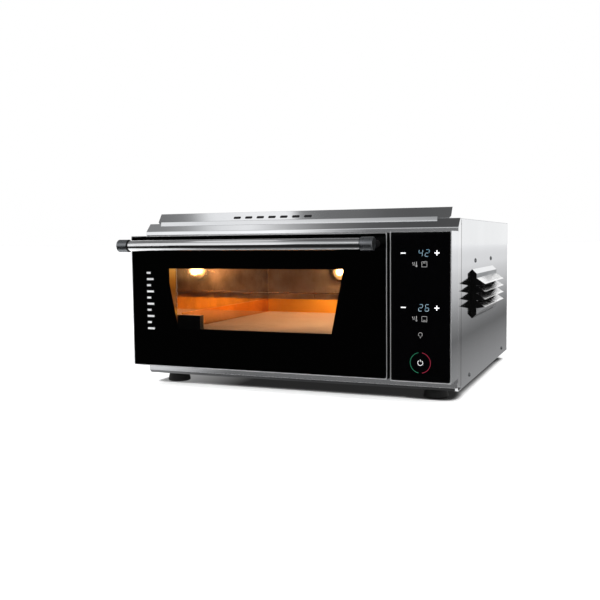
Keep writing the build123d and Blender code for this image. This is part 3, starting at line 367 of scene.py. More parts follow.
def glassMaterial(name, look):
    # toughened float glass: clear, with the faintest waver from the rollers
    material, tree, where = newMaterial(name)
    waver = addNode(tree, "ShaderNodeTexNoise", {
        "Vector": where, "Scale": 1 / (look["waver"] * mm), "Detail": 1.0,
    }).outputs[0]
    relief = addNode(tree, "ShaderNodeBump", {
        "Height": waver, "Strength": 0.05, "Distance": 0.05 * mm,
    }).outputs[0]
    smears = addNode(tree, "ShaderNodeMapRange", {
        "Value": waver, "From Min": 0.4, "From Max": 0.75, "To Min": look["roughness"][0],
        "To Max": look["roughness"][1],
    }).outputs[0]
    shader = addNode(tree, "ShaderNodeBsdfPrincipled", {
        "Base Color": hexColour(look["colour"]), "Roughness": smears, "Normal": relief,
        "IOR": look["ior"], "Transmission Weight": look["clear"],
        "Specular IOR Level": look["specular"],
    }).outputs[0]
    closeMaterial(tree, shader)
    return material


# clear toughened glass of the door: sharp, nearly colourless
doorGlass = glassMaterial("clearToughenedGlass", {
    "waver": 90.0, "roughness": (0.0, 0.02), "colour": "#fbfdfc", "ior": 1.45, "clear": 1.0,
    "specular": 0.5,
})
# borosilicate lamp lens, lightly pressed: spreads the bulb's glow a little
lensGlass = glassMaterial("pressedBorosilicateLens", {
    "waver": 6.0, "roughness": (0.02, 0.07), "colour": "#fff6e6", "ior": 1.47, "clear": 1.0,
    "specular": 0.5,
})
# black-backed control glass: deep black under a gloss face
controlGlassBlack = glassMaterial("blackBackedControlGlass", {
    "waver": 90.0, "roughness": (0.02, 0.05), "colour": "#030304", "ior": 1.45, "clear": 0.0,
    "specular": 0.3,
})
# screen-printed ceramic enamel: opaque black with a slight dry grain
blackEnamel = mouldedMaterial("blackScreenEnamel", {
    "cloud": 60.0, "skin": 0.5, "dark": "#020202", "light": "#040404",
    "roughness": (0.5, 0.62), "relief": 0.05, "depth": 0.01, "ior": 1.45,
})
bakingStone = stoneMaterial()


def wovenMaterial():
    # braided glass-fibre gasket: two slanting waves cross like plaited strands
    look = {
        "pitch": 3.2,                       # millimetres from strand to strand
        "bands": 1 / 3.14,                  # the wave's scale that gives one strand to a pitch
        "light": "#cfc8b8", "dark": "#8d8778",
    }
    material, tree, where = newMaterial("braidedFibreGasket")
    strands = []
    for slant in (45, -45):
        turned = addNode(tree, "ShaderNodeMapping", {
            "Vector": where, "Rotation": (0, math.radians(slant), 0),
        }).outputs[0]
        strands.append(addNode(tree, "ShaderNodeTexWave", {
            "Vector": turned, "Scale": look["bands"] / (look["pitch"] * mm), "Distortion": 0.4,
        }, bands_direction="X").outputs[1])
    plait = addNode(tree, "ShaderNodeMath", {
        0: strands[0], 1: strands[1],
    }, operation="MAXIMUM").outputs[0]
    colour = addNode(tree, "ShaderNodeValToRGB", {"Fac": plait}, stops=[
        (0.2, hexColour(look["dark"])), (0.9, hexColour(look["light"])),
    ]).outputs[0]
    relief = addNode(tree, "ShaderNodeBump", {
        "Height": plait, "Strength": 0.8, "Distance": 0.5 * mm,
    }).outputs[0]
    shader = addNode(tree, "ShaderNodeBsdfPrincipled", {
        "Base Color": colour, "Roughness": 0.9, "Normal": relief,
    }).outputs[0]
    closeMaterial(tree, shader)
    return material


def boardMaterial():
    # circuit board: green solder mask over faint copper runs, with small bright pads
    look = {
        "pad": 5.0, "padSize": 0.16, "run": 9.0, "runEdge": 0.75,       # pitches in millimetres
        "mask": "#1d5a36", "trace": "#2a7448", "tin": "#c9ccc6",
    }
    material, tree, where = newMaterial("greenCircuitBoard")
    cells = addNode(tree, "ShaderNodeTexVoronoi", {
        "Vector": where, "Scale": 1 / (look["pad"] * mm),
    }, distance="CHEBYCHEV").outputs["Distance"]
    runs = addNode(tree, "ShaderNodeTexVoronoi", {
        "Vector": where, "Scale": 1 / (look["run"] * mm),
    }, distance="MANHATTAN", feature="F2").outputs["Distance"]
    traceShare = addNode(tree, "ShaderNodeMath", {
        0: runs, 1: look["runEdge"],
    }, operation="GREATER_THAN").outputs[0]
    padShare = addNode(tree, "ShaderNodeMath", {
        0: cells, 1: look["padSize"],
    }, operation="LESS_THAN").outputs[0]
    masked = addNode(tree, "ShaderNodeMix", {
        0: traceShare, 6: hexColour(look["mask"]), 7: hexColour(look["trace"]),
    }, data_type="RGBA").outputs[2]
    colour = addNode(tree, "ShaderNodeMix", {
        0: padShare, 6: masked, 7: hexColour(look["tin"]),
    }, data_type="RGBA").outputs[2]
    shader = addNode(tree, "ShaderNodeBsdfPrincipled", {
        "Base Color": colour, "Metallic": padShare, "Roughness": 0.35,
    }).outputs[0]
    closeMaterial(tree, shader)
    return material


def glowMaterial(name, look):
    # a lit surface: its light wavers a little over the piece, as a filament or a lit mask does
    material, tree, where = newMaterial(name)
    patches = addNode(tree, "ShaderNodeTexNoise", {
        "Vector": where, "Scale": 1 / (look["patch"] * mm), "Detail": 1.0,
    }).outputs[0]
    colour = addNode(tree, "ShaderNodeValToRGB", {"Fac": patches}, stops=[
        (0.3, hexColour(look["dark"])), (0.7, hexColour(look["light"])),
    ]).outputs[0]
    shader = addNode(tree, "ShaderNodeBsdfPrincipled", {
        "Base Color": colour, "Emission Color": colour, "Emission Strength": look["strength"],
        "Roughness": 0.4,
    }).outputs[0]
    closeMaterial(tree, shader)
    return material


gasketBraid = wovenMaterial()
circuitGreen = boardMaterial()
# tungsten-halogen bulb: yellow-white and far brighter than the rest
bulbGlow = glowMaterial("halogenBulbGlow", {
    "patch": 3.0, "dark": "#ffd79a", "light": "#ffedc8", "strength": 14.0,
})
# the small dish behind the bulb: polished, and its bright yellow glow is the bulb's light painted on
# it, not a lamp of its own
dishPaintedBulbLight = glowMaterial("lampDishPaintedLight", {
    "patch": 5.0, "dark": "#ffb95e", "light": "#ffd58c", "strength": 3.0,
})
# backlit white legend behind the control glass
legendWhite = glowMaterial("backlitWhiteLegend", {
    "patch": 4.0, "dark": "#e0e2e6", "light": "#ffffff", "strength": 0.8,
})
legendGrey = glowMaterial("backlitGreyLegend", {
    "patch": 4.0, "dark": "#868687", "light": "#b0afad", "strength": 0.42,
})
# seven-segment digits: cool, slightly uneven light
digitGlow = glowMaterial("coolSegmentGlow", {
    "patch": 5.0, "dark": "#4f7f96", "light": "#a3bac6", "strength": 0.5,
})
keyGreen = glowMaterial("backlitGreenLegend", {
    "patch": 6.0, "dark": "#0d5a40", "light": "#14724f", "strength": 0.5,
})
keyRed = glowMaterial("backlitRedLegend", {
    "patch": 6.0, "dark": "#7a0f2a", "light": "#931434", "strength": 0.5,
})
# white enamel print on the door glass
whiteEnamel = mouldedMaterial("whiteScreenEnamel", {
    "cloud": 12.0, "skin": 0.5, "dark": "#e2e4e6", "light": "#f2f3f4",
    "roughness": (0.4, 0.5), "relief": 0.05, "depth": 0.01, "ior": 1.5,
})
# black oxide ink etched into the steel: flat and dry
etchedInk = mouldedMaterial("etchedBlackInk", {
    "cloud": 5.0, "skin": 0.4, "dark": "#101012", "light": "#1b1b1d",
    "roughness": (0.55, 0.7), "relief": 0.1, "depth": 0.01, "ior": 1.45,
})
# flat black standing for shade: painted shade inside and under the louvres, in the seams and in the
# gaps between parts, so gaps read as gaps
paintedShadeBlack = mouldedMaterial("flatBlackPaintedShade", {
    "cloud": 20.0, "skin": 0.7, "dark": "#050505", "light": "#0b0b0b",
    "roughness": (0.6, 0.75), "relief": 0.15, "depth": 0.02, "ior": 1.18,
})
print("other finishes made")


finishes = {
    brightSheet: ["base_pan", "front_frame", "top_cover", "heat_deflector"],
    satinUpright: ["back_panel", "side_panel_left"],
    brightUpright: ["side_panel_right", "control_box", "side_vent_hood"],
    satinRim: ["door_frame"],
    goldenLiner: ["stone_frame"],
    zincSheet: ["divider_wall"],
    chamberMirror: [
        "chamber_left_wall", "chamber_right_wall", "chamber_roof", "chamber_floor",
    ],
    chamberSatin: ["chamber_back_wall"],
    controlGlassBlack: ["control_glass"],
    doorGlass: ["door_outer_glass", "door_inner_glass"],
    blackEnamel: ["door_print"],
    darkDoorSteelAndPaintedShade: ["door_inner_panel", "glass_retainers", "door_hinge_brackets"],
    polishedTube: ["handle_tube"],
    turnedAluminium: ["handle_caps"],
    blackNylon: [
        "handle_rings", "handle_posts", "fan_frame", "fan_rotor", "cable_gland", "gland_nut",
    ],
    screwSteel: [
        "foot_screws", "side_screws", "base_screws", "back_screws", "handle_screws", "fan_screws",
        "hinge_pins", "board_standoffs",
    ],
    oxideSteel: ["hinge_boxes", "hinge_arms"],
    footRubber: ["rubber_feet"],
    bakingStone: ["baking_stone"],
    rodSheath: ["upper_heating_elements", "lower_heating_elements", "temperature_probes"],
    lampCeramic: ["lamp_socket"],
    bulbGlow: ["lamp_bulb"],
    lensGlass: ["lamp_lens"],
    mineralWool: [
        "insulation_left", "insulation_right", "insulation_back", "insulation_top",
        "insulation_bottom",
    ],
    gasketBraid: ["mouth_gasket"],
    circuitGreen: ["display_board", "power_board"],
    paleNylon: ["terminal_block"],
}
slotOf, finishOf = {}, {}
for material, names in finishes.items():
    for name in names:
        node = nodes[name]
        slotOf[name] = node.data.materials[0].name if node.data.materials else None
        finishOf[name] = material
        node.data.materials.clear()
        node.data.materials.append(material)
unfinished = sorted(set(nodes) - set(finishOf))
print("finishes given to", len(finishOf), "nodes, left bare:", unfinished)


foldAngle = 32.0        # degrees: a sharper turn than this is an edge, a softer one is a curve


def shadeByAngle(mesh, sharpest):
    # smooth shading, with each edge that turns by more than the given angle kept crisp
    mesh.polygons.foreach_set("use_smooth", np.ones(len(mesh.polygons), bool))
    mesh.set_sharp_from_angle(angle=math.radians(sharpest))


def meshFromGrids(name, grids, sharpest=foldAngle):
    # one mesh from grids of points, each (rows, columns, 3): every cell becomes a four-sided face,
    # the columns join back to their start, looped rows do too, and capped rows are closed by one
    # face at each end
    points, faces, start = [], [], 0
    for grid in grids:
        block = np.asarray(grid["points"], float)
        rows, columns = block.shape[:2]
        index = np.arange(rows * columns).reshape(rows, columns) + start
        if grid.get("caps"):
            faces += [index[0].tolist(), index[-1].tolist()]
        if grid.get("loopRows"):
            index = np.vstack([index, index[:1]])
        index = np.hstack([index, index[:, :1]])
        faces += np.stack(
            [index[:-1, :-1], index[:-1, 1:], index[1:, 1:], index[1:, :-1]], -1
        ).reshape(-1, 4).tolist()
        points.append(block.reshape(-1, 3))
        start += rows * columns
    mesh = bpy.data.meshes.new(name)
    mesh.from_pydata(np.vstack(points).tolist(), [], faces)
    work = bmesh.new()
    work.from_mesh(mesh)
    bmesh.ops.remove_doubles(work, verts=work.verts, dist=1e-7)
    bmesh.ops.recalc_face_normals(work, faces=work.faces)
    work.to_mesh(mesh)
    work.free()
    shadeByAngle(mesh, sharpest)
    return mesh


def addPiece(name, mesh, material, body, replaced=()):
    mesh.materials.clear()
    mesh.materials.append(material)
    piece = addObject(name, mesh)
    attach(piece, body)
    if replaced:
        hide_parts(*replaced)
    return piece


def roundEdges(piece, width, sharpest):
    # a small two-step bevel along each edge that turns by more than the given angle
    rounding = piece.modifiers.new("roundedEdges", "BEVEL")
    rounding.width = width * mm
    rounding.segments = 2
    rounding.limit_method = "ANGLE"
    rounding.angle_limit = math.radians(sharpest)
    rounding.use_clamp_overlap = False
    rounding.harden_normals = True


def smoothedCopy(nodeName, bevel=0.0):
    # the node's own surface with its loose triangles merged, flat faces joined up, round faces
    # shaded smooth, and each fold and cut edge given a small rounded bevel
    mesh = nodes[nodeName].data.copy()
    work = bmesh.new()
    work.from_mesh(mesh)
    bmesh.ops.remove_doubles(work, verts=work.verts, dist=2e-6)
    bmesh.ops.dissolve_limit(
        work, angle_limit=math.radians(0.3), verts=work.verts, edges=work.edges,
    )
    work.to_mesh(mesh)
    work.free()
    shadeByAngle(mesh, foldAngle)
    words = nodeName.split("_")
    name = words[0] + "".join(word.title() for word in words[1:])
    piece = addPiece(
        name, mesh, finishOf[nodeName], nodes[nodeName]["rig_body"], [nodeName],
    )
    if bevel:
        roundEdges(piece, bevel, foldAngle)
    return piece


# bevel widths in millimetres: thin sheet takes under half its thickness
bevels = {
    "base_pan": 0.45, "front_frame": 0.4, "heat_deflector": 0.5,
    "side_vent_hood": 0.35, "side_panel_left": 0.3, "side_panel_right": 0.3, "back_panel": 0.3,
    "control_box": 0.35, "control_glass": 0.4, "door_frame": 0.35, "door_inner_panel": 0.3,
    "baking_stone": 0.8, "stone_frame": 0.3, "hinge_boxes": 0.5, "glass_retainers": 0.2,
    "door_hinge_brackets": 0.3, "terminal_block": 0.4, "mouth_gasket": 1.2,
}
smoothed = {nodeName: smoothedCopy(nodeName, width) for nodeName, width in bevels.items()}
for nodeName in (
    "lamp_lens", "lamp_bulb", "lamp_socket", "upper_heating_elements", "lower_heating_elements",
    "temperature_probes", "rubber_feet", "fan_frame", "fan_rotor", "cable_gland", "gland_nut",
    "handle_posts", "handle_rings", "hinge_arms", "hinge_pins",
):
    smoothedCopy(nodeName)
print("sheet edges rounded")


def repaint(piece, material, chosen):
    # gives another finish to the faces chosen from their normals and centres
    mesh = piece.data
    mesh.materials.append(material)
    normals, centres = np.empty(len(mesh.polygons) * 3), np.empty(len(mesh.polygons) * 3)
    marks = np.empty(len(mesh.polygons), np.int32)
    mesh.polygons.foreach_get("normal", normals)
    mesh.polygons.foreach_get("center", centres)
    mesh.polygons.foreach_get("material_index", marks)
    marks[chosen(normals.reshape(-1, 3), centres.reshape(-1, 3) / mm)] = len(mesh.materials) - 1
    mesh.polygons.foreach_set("material_index", marks)


# the hood's inner faces, the undersides of its louvres and its front cheek are painted black
# as painted shade, and its neck is a plainer steel: a face is inside where it looks back at the
# casing, looks down, or is an end face that isn't at the hood's far end
paintPlan = {
    "neck": 14.5, "skirt": 8.0, "farEnd": 0.3,      # millimetres from the hood's top, foot and end
    "slant": 0.2, "facing": 0.9, "upright": 0.95,   # how squarely a face has to point one way
}
hood = smoothed["side_vent_hood"]
hoodLow, hoodHigh = boxInMm("side_vent_hood")
neckZ, skirtZ = hoodHigh[2] - paintPlan["neck"], hoodLow[2] + paintPlan["skirt"]
slant, facing = paintPlan["slant"], paintPlan["facing"]
repaint(hood, paintedShadeBlack, lambda normals, centres: (
    (normals[:, 0] < -0.05) | ((normals[:, 2] < -slant) & (centres[:, 2] > skirtZ))
    | ((np.abs(normals[:, 1]) > facing) & (centres[:, 1] < hoodHigh[1] - paintPlan["farEnd"]))
))
repaint(hood, dullSteel, lambda normals, centres: (
    (normals[:, 0] > paintPlan["upright"]) & (centres[:, 2] > neckZ)
))
# the louvres' upper faces are brushed, and given the lighter steel as a painted highlight so they
# stay evenly bright
repaint(hood, louvrePaintedHighlight, lambda normals, centres: (
    (normals[:, 2] > slant) & (normals[:, 0] > slant) & (centres[:, 2] < neckZ)
))
# the hood's lower skirt turns under, and its underside is darkened as painted shade
repaint(hood, darkDoorSteelAndPaintedShade, lambda normals, centres: (
    (normals[:, 2] < -slant) & (normals[:, 0] > slant) & (centres[:, 2] < skirtZ)
))
# the facing sides of the door and the control box are painted black as painted shade, so the gap
# between them stays dark
repaint(smoothed["door_frame"], paintedShadeBlack, lambda normals, centres: normals[:, 0] > facing)
repaint(smoothed["control_box"], paintedShadeBlack, lambda normals, centres: normals[:, 0] < -facing)
# the sides of the stone's frame are polished, so they mirror the bright face behind them
repaint(smoothed["stone_frame"], goldenMirror, lambda normals, centres: (
    np.abs(normals[:, 0]) > facing
))
print("painted faces picked out")


def latheRows(profile, start, axis, segments):
    # surface of revolution: each (along, radius) pair of the profile becomes a ring round the axis
    along = Vector(axis).normalized()
    side = along.orthogonal().normalized()
    third = along.cross(side)
    angle = np.linspace(0, 2 * math.pi, segments, endpoint=False)
    ring = np.outer(np.cos(angle), side) + np.outer(np.sin(angle), third)
    profile = np.asarray(profile, float) * mm
    centre = np.asarray(start, float) * mm + profile[:, :1] * np.array(along)
    return centre[:, None, :] + profile[:, 1][:, None, None] * ring[None, :, :]


tubePlan = {"wall": 1.5, "rounding": 0.4, "segments": 96}


def makeHandleTube():
    # a wall profile turned round the tube's axis, with the ends' outer edges rounded
    low, high = boxInMm("handle_tube")
    radius, edge = (high[2] - low[2]) / 2, tubePlan["rounding"]
    length, bore, dip = high[0] - low[0], radius - tubePlan["wall"], edge * 0.3
    profile = [
        (0, bore), (0, radius - edge), (dip, radius - dip), (edge, radius),
        (length / 3, radius), (2 * length / 3, radius),
        (length - edge, radius), (length - dip, radius - dip), (length, radius - edge),
        (length, bore),
    ]
    start = (low[0], (low[1] + high[1]) / 2, (low[2] + high[2]) / 2)
    rows = latheRows(profile, start, (1, 0, 0), tubePlan["segments"])
    mesh = meshFromGrids("handleTube", [{"points": rows, "loopRows": True}])
    addPiece("handleTube", mesh, polishedTube, "door", ["handle_tube"])


capPlan = {
    "length": 19.0, "ridgePitch": 1.25, "ridgeDepth": 0.28, "edge": 1.0, "collar": 1.6,
    "segments": 80, "steps": 160,
}


def makeHandleCaps():
    # turned cap: its radius dips by a rounded saw along the axis, with a plain collar at each end
    low, high = boxInMm("handle_caps")
    radius, length = (high[2] - low[2]) / 2, capPlan["length"]
    middle = (low[1] + high[1]) / 2, (low[2] + high[2]) / 2
    edge, collar = capPlan["edge"], capPlan["collar"]
    along = np.linspace(collar, length - collar, capPlan["steps"])
    wave = np.abs(np.sin(np.pi * (along - collar) / capPlan["ridgePitch"]))
    ridges = np.column_stack([along, radius - capPlan["ridgeDepth"] * (1 - wave ** 0.6)])
    turn = np.linspace(0, math.pi / 2, 6)
    outer = np.column_stack([edge - edge * np.cos(turn), radius - edge + edge * np.sin(turn)])
    profile = np.vstack([[(0, 0)], outer, ridges, [(length, radius), (length, 0)]])
    grids = []
    for x, direction in ((low[0], 1), (high[0], -1)):
        rows = latheRows(profile, (x, *middle), (direction, 0, 0), capPlan["segments"])
        grids.append({"points": rows})
    mesh = meshFromGrids("handleCaps", grids, 40)
    addPiece("handleCaps", mesh, turnedAluminium, "door", ["handle_caps"])


makeHandleTube()
makeHandleCaps()
print("handle made")


def paintedLightTrim(base):
    # painted light of the heated chamber on the trim, glowing though it is no lamp: painted lamp
    # light bright at the top, dimmer below, with a painted amber band of lamp light low down; stops
    # give (millimetres above the chamber's floor, colour)
    bands = [
        (28, "#0c0704"), (44, "#26120a"), (57, "#7a4010"), (64, "#f09830"), (69, "#d07420"),
        (75, "#8a4008"), (79, "#a86030"), (104, "#8c4a10"), (122, "#b86a20"), (138, "#e89840"),
        (146, "#f4ac58"),
    ]
    material, tree, where = newMaterial("mouthTrimPaintedLampLight")
    height = addNode(tree, "ShaderNodeSeparateXYZ", {0: where}).outputs[2]
    share = addNode(tree, "ShaderNodeMapRange", {
        "Value": height, "From Min": (base + bands[0][0]) * mm,
        "From Max": (base + bands[-1][0]) * mm,
    }).outputs[0]
    span = bands[-1][0] - bands[0][0]
    colour = addNode(tree, "ShaderNodeValToRGB", {"Fac": share}, stops=[
        ((place - bands[0][0]) / span, hexColour(tint)) for place, tint in bands
    ]).outputs[0]
    shader = addNode(tree, "ShaderNodeBsdfPrincipled", {
        "Base Color": (0.02, 0.012, 0.006, 1.0), "Roughness": 0.6, "Emission Color": colour,
        "Emission Strength": 0.8,
    }).outputs[0]
    closeMaterial(tree, shader)
    return material


# the casing's own measures in millimetres, from the frame
skinLow, skinHigh = boxInMm("side_panel_right")
casingLow, casingHigh = boxInMm("top_cover")
deflectorLow, deflectorHigh = boxInMm("heat_deflector")
sheet = 1.2             # thickness of the casing's steel
frontY, backY = casingLow[1] + sheet, casingHigh[1]
topZ, baseZ = casingHigh[2], boxInMm("base_pan")[0][2]
bodyLeft, bodyRight = casingLow[0], casingHigh[0]


def roundedPath(corners, radii, steps=8):
    # each corner gives way to an arc that starts and ends radius / tan(angle / 2) from it, where
    # the angle is the one between its two sides
    corners = np.asarray(corners, float)
    path = [corners[:1]]
    for before, corner, after, radius in zip(corners, corners[1:], corners[2:], radii):
        back, on = before - corner, after - corner
        back, on = back / np.linalg.norm(back), on / np.linalg.norm(on)
        half = math.acos(float(np.clip(back @ on, -1, 1))) / 2
        middle = (back + on) / np.linalg.norm(back + on)
        centre = corner + middle * radius / math.sin(half)
        start = corner + back * radius / math.tan(half) - centre
        end = corner + on * radius / math.tan(half) - centre
        turn = math.pi - 2 * half
        share = np.linspace(0, 1, steps)[:, None]
        arc = np.sin((1 - share) * turn) * start + np.sin(share * turn) * end
        path.append(centre + arc / math.sin(turn))
    path.append(corners[-1:])
    return np.vstack(path)


def sweptAcross(profile, xLow, xHigh):
    # a closed outline in (y, z) carried along x
    outline = np.asarray(profile, float)
    rows = [np.column_stack([np.full(len(outline), x), outline]) for x in (xLow, xHigh)]
    return {"points": np.stack(rows) * mm, "caps": True}


coverPlan = {
    "lip": 5.9, "lean": 0.5,                # the lip's height, and how far it leans back
    "rise": 14.1,                           # depth of the slope and the lip together
    "lipBend": 3.0, "topBend": 2.0, "bevel": 0.3, "cutEdge": 60,
}
slopeEnd = casingLow[1] + coverPlan["rise"]


def makeTopCover():
    # one folded sheet: a lip that leans back a little, the slope, and the flat top behind it
    y, lipZ, bendZ = casingLow[1], casingLow[2], casingLow[2] + coverPlan["lip"]
    outer = roundedPath(
        [(y, lipZ), (y + coverPlan["lean"], bendZ), (slopeEnd, topZ), (backY, topZ)],
        (coverPlan["lipBend"], coverPlan["topBend"]),
    )
    run = np.gradient(outer, axis=0)
    run /= np.linalg.norm(run, axis=1, keepdims=True)
    inner = outer + np.column_stack([run[:, 1], -run[:, 0]]) * sheet
    grid = sweptAcross(np.vstack([outer, inner[::-1]]), bodyLeft, bodyRight)
    mesh = meshFromGrids("topCover", [grid])
    piece = addPiece("topCover", mesh, brightSheet, "casing", ["top_cover"])
    roundEdges(piece, coverPlan["bevel"], coverPlan["cutEdge"])


makeTopCover()


def addTrim(name, grids, material):
    # a casing piece with no node of its own, carried on the casing body
    addPiece(name, meshFromGrids(name, grids), material, "casing")


# folded hem along the deflector's foot: (y, z) from the edge between the slope and the top
hemPlan = {
    "left": 10.0, "right": 20.0,            # how far it stops short of the deflector's ends
    "corners": [(-4.2, -5.0), (-4.65, -4.2), (-2.65, 3.1), (2.85, 3.3), (2.85, -0.8)],
    "bends": (0.3, 1.0, 0.6),
}
hemFace = roundedPath(hemPlan["corners"], hemPlan["bends"]) + [slopeEnd, topZ]
addTrim("deflectorHem", [
    sweptAcross(hemFace, deflectorLow[0] + hemPlan["left"], deflectorHigh[0] - hemPlan["right"]),
], brightSheet)


rimSeat = {"clear": 0.04, "sunk": 0.5}      # millimetres in front of the face, and behind it


def rimGrid(low, high, width, corners, raised):
    # a frame round a rectangle: outer and inner rounded rectangles joined by rows that rise by
    # raised * sin(pi * share) towards the front, and two back rows sunk behind the face
    def loop(inset, corner):
        x0, x1, z0, z1 = low[0] + inset, high[0] - inset, low[2] + inset, high[2] - inset
        quarter = np.linspace(0, math.pi / 2, 7)
        points = []
        for x, z, start in (
            (x1 - corner, z1 - corner, 0), (x0 + corner, z1 - corner, 1),
            (x0 + corner, z0 + corner, 2), (x1 - corner, z0 + corner, 3),
        ):
            angle = quarter + start * math.pi / 2
            points.append(np.column_stack([x + corner * np.cos(angle), z + corner * np.sin(angle)]))
        return np.vstack(points)
    rows = []
    for share in np.linspace(0, 1, 9):
        flat = loop(width * share, corners[0] + (corners[1] - corners[0]) * share)
        depth = np.full(len(flat), low[1] - rimSeat["clear"] - raised * math.sin(math.pi * share))
        rows.append(np.column_stack([flat[:, 0], depth, flat[:, 1]]))
    for row in (rows[-1], rows[0]):
        rows.append(row * [1, 0, 1] + [0, low[1] + rimSeat["sunk"], 0])
    return {"points": np.stack(rows) * mm, "loopRows": True}


# each rim: its node, how far it starts outside the node, its width, its outer and inner corner
# radii, how far it stands proud, its body and its finish
rimPlan = {
    "doorRim": ("door_frame", 0.0, 1.15, (1.4, 3.4), 0.40, "door", satinRim),
    "controlRim": ("control_box", 0.0, 1.3, (1.4, 2.6), 0.40, "casing", satinRim),
    "controlBorder": ("control_glass", 1.3, 1.6, (1.2, 2.6), 0.03, "casing", paintedShadeBlack),
}
for name, (nodeName, outside, width, corners, raised, body, material) in rimPlan.items():
    rimLow, rimHigh = boxInMm(nodeName)
    margin = np.array([outside, 0, outside])
    grid = rimGrid(rimLow - margin, rimHigh + margin, width, corners, raised)
    addPiece(name, meshFromGrids(name, [grid]), material, body)


def blockGrid(low, high):
    # a plain bar between two corners, as a four-point outline carried along x
    outline = [(low[1], low[2]), (high[1], low[2]), (high[1], high[2]), (low[1], high[2])]
    return sweptAcross(outline, low[0], high[0])


# black strip in the seam between the front return and each side panel: painted shadow of the seam's
# gap
seamPlan = {
    "behindFront": 22.25, "width": 1.7, "proud": 0.06, "deep": 1.5, "foot": 6.0, "head": 1.3,
}
seamGrids = []
seamY = frontY + seamPlan["behindFront"]
for x, out in ((bodyLeft, -1), (bodyRight, 1)):
    edges = sorted([x + out * seamPlan["proud"], x - out * seamPlan["deep"]])
    seamGrids.append(blockGrid(
        (edges[0], seamY - seamPlan["width"] / 2, skinLow[2] + seamPlan["foot"]),
        (edges[1], seamY + seamPlan["width"] / 2, skinHigh[2] - seamPlan["head"]),
    ))
addTrim("seamPaintedShadow", seamGrids, paintedShadeBlack)

# pressed ledge across the back of the chamber: its top edge catches the lamp
ledgePlan = {
    "height": 76.7, "deep": 6.0, "thick": 2.2, "edge": 0.5, "inWall": 0.3, "pastStone": 1.5,
}
stoneLow, stoneHigh = boxInMm("baking_stone")
floorLow, floorHigh = boxInMm("chamber_floor")
mouthLeft, floorTop = floorLow[0], floorHigh[2]
ledgeTop = floorTop + ledgePlan["height"]
ledgeFoot = ledgeTop - ledgePlan["thick"]
backWallY = boxInMm("chamber_back_wall")[0][1]
ledgeRoot, ledgeNose = backWallY + ledgePlan["inWall"], backWallY - ledgePlan["deep"]
ledgeOutline = roundedPath([
    (ledgeRoot, ledgeFoot), (ledgeNose, ledgeFoot), (ledgeNose, ledgeTop), (ledgeRoot, ledgeTop),
], (ledgePlan["edge"], ledgePlan["edge"]))
past = ledgePlan["pastStone"]
addTrim("rackLedge", [
    sweptAcross(ledgeOutline, stoneLow[0] - past, stoneHigh[0] + past),
], chamberMirror)

# narrow strip up the left edge of the mouth, glowing though it is no lamp: painted light and painted
# reflection of the chamber, carried into the window's corner
trimPlan = {"width": 11.5, "clear": 0.2, "low": 24.0, "high": 148.0, "thick": 0.25, "seat": 0.1}
gasketY = boxInMm("mouth_gasket")[0][1]
addTrim("mouthTrim", [blockGrid(
    (mouthLeft - trimPlan["width"], gasketY - trimPlan["thick"], floorTop + trimPlan["low"]),
    (mouthLeft - trimPlan["clear"], gasketY + trimPlan["seat"], floorTop + trimPlan["high"]),
)], paintedLightTrim(floorTop))

# dish round the bulb, inside the lamp's glass, with the bulb's light painted on it as a glow: its
# depth grows with the square of the way out
dishPlan = {
    "inner": 4.2, "outer": 9.0, "deep": 3.0, "wall": 0.4, "seat": 0.2, "start": 0.6, "segments": 64,
}
lensLow, lensHigh = boxInMm("lamp_lens")
lensMiddle = (lensLow + lensHigh) / 2
dishShare = np.linspace(0, 1, 12)
dishRadius = dishPlan["inner"] + (dishPlan["outer"] - dishPlan["inner"]) * dishShare
dishFace = np.column_stack([dishPlan["start"] + dishPlan["deep"] * dishShare ** 2, dishRadius])
dishBack = dishFace[::-1] - [dishPlan["wall"], 0]
dishRows = latheRows(
    np.vstack([dishFace, dishBack]), (lensMiddle[0], lensHigh[1] - dishPlan["seat"], lensMiddle[2]),
    (0, -1, 0), dishPlan["segments"],
)
addTrim("lampDish", [{"points": dishRows, "loopRows": True}], dishPaintedBulbLight)
print("folded sheet and rims made")


headPlan = {
    "radius": 3.8, "height": 2.2, "dome": 0.75, "rings": 14, "segments": 48, "turn": 0.06,
    "slotWidth": 0.62, "slotReach": 2.3, "slotDepth": 1.1, "slotFloor": 0.15,
    "shankRadius": 2.0, "shankLength": 8.0, "shankSegments": 20,
}


def headRows(centre, axis):
    # polar grid over a domed head: height falls with the square of the radius, and drops by the
    # slot's depth where either cross direction is inside the slot's half width
    along = Vector(axis).normalized()
    side = Vector((0, 0, 1)) if abs(along.z) < 0.5 else Vector((1, 0, 0))
    third = along.cross(side)
    share = np.concatenate([[0], np.linspace(0.04, 1, headPlan["rings"])])
    angle = np.linspace(0, 2 * math.pi, headPlan["segments"], endpoint=False) + headPlan["turn"]
    r = share[:, None] * headPlan["radius"]
    u, v = r * np.cos(angle), r * np.sin(angle)
    lift = headPlan["height"] * (1 - headPlan["dome"] * share[:, None] ** 2) + 0 * u
    reach = np.hypot(u, v) < headPlan["slotReach"]
    inSlot = reach & ((np.abs(u) < headPlan["slotWidth"]) | (np.abs(v) < headPlan["slotWidth"]))
    lift = np.where(inSlot, np.maximum(lift - headPlan["slotDepth"], headPlan["slotFloor"]), lift)
    rim = np.stack([u[-1], v[-1], np.zeros_like(u[-1])], -1)[None]
    local = np.concatenate([np.stack([u, v, lift], -1), rim, rim * [0, 0, 1]], 0)
    basis = np.array([side, third, along])
    return (np.asarray(centre, float) + local @ basis) * mm


def makeScrewHeads(name, nodeName, placed):
    # each screw is a place and the direction its head looks in
    radius, length = headPlan["shankRadius"], headPlan["shankLength"]
    shank = [(0, 0), (0, radius), (length, radius), (length, 0)]
    grids = []
    for place, axis in placed:
        inward = -np.array(axis, float)
        grids.append({"points": headRows(place, axis)})
        grids.append({"points": latheRows(shank, place, inward, headPlan["shankSegments"])})
    addPiece(name, meshFromGrids(name, grids), screwSteel, "casing", [nodeName])


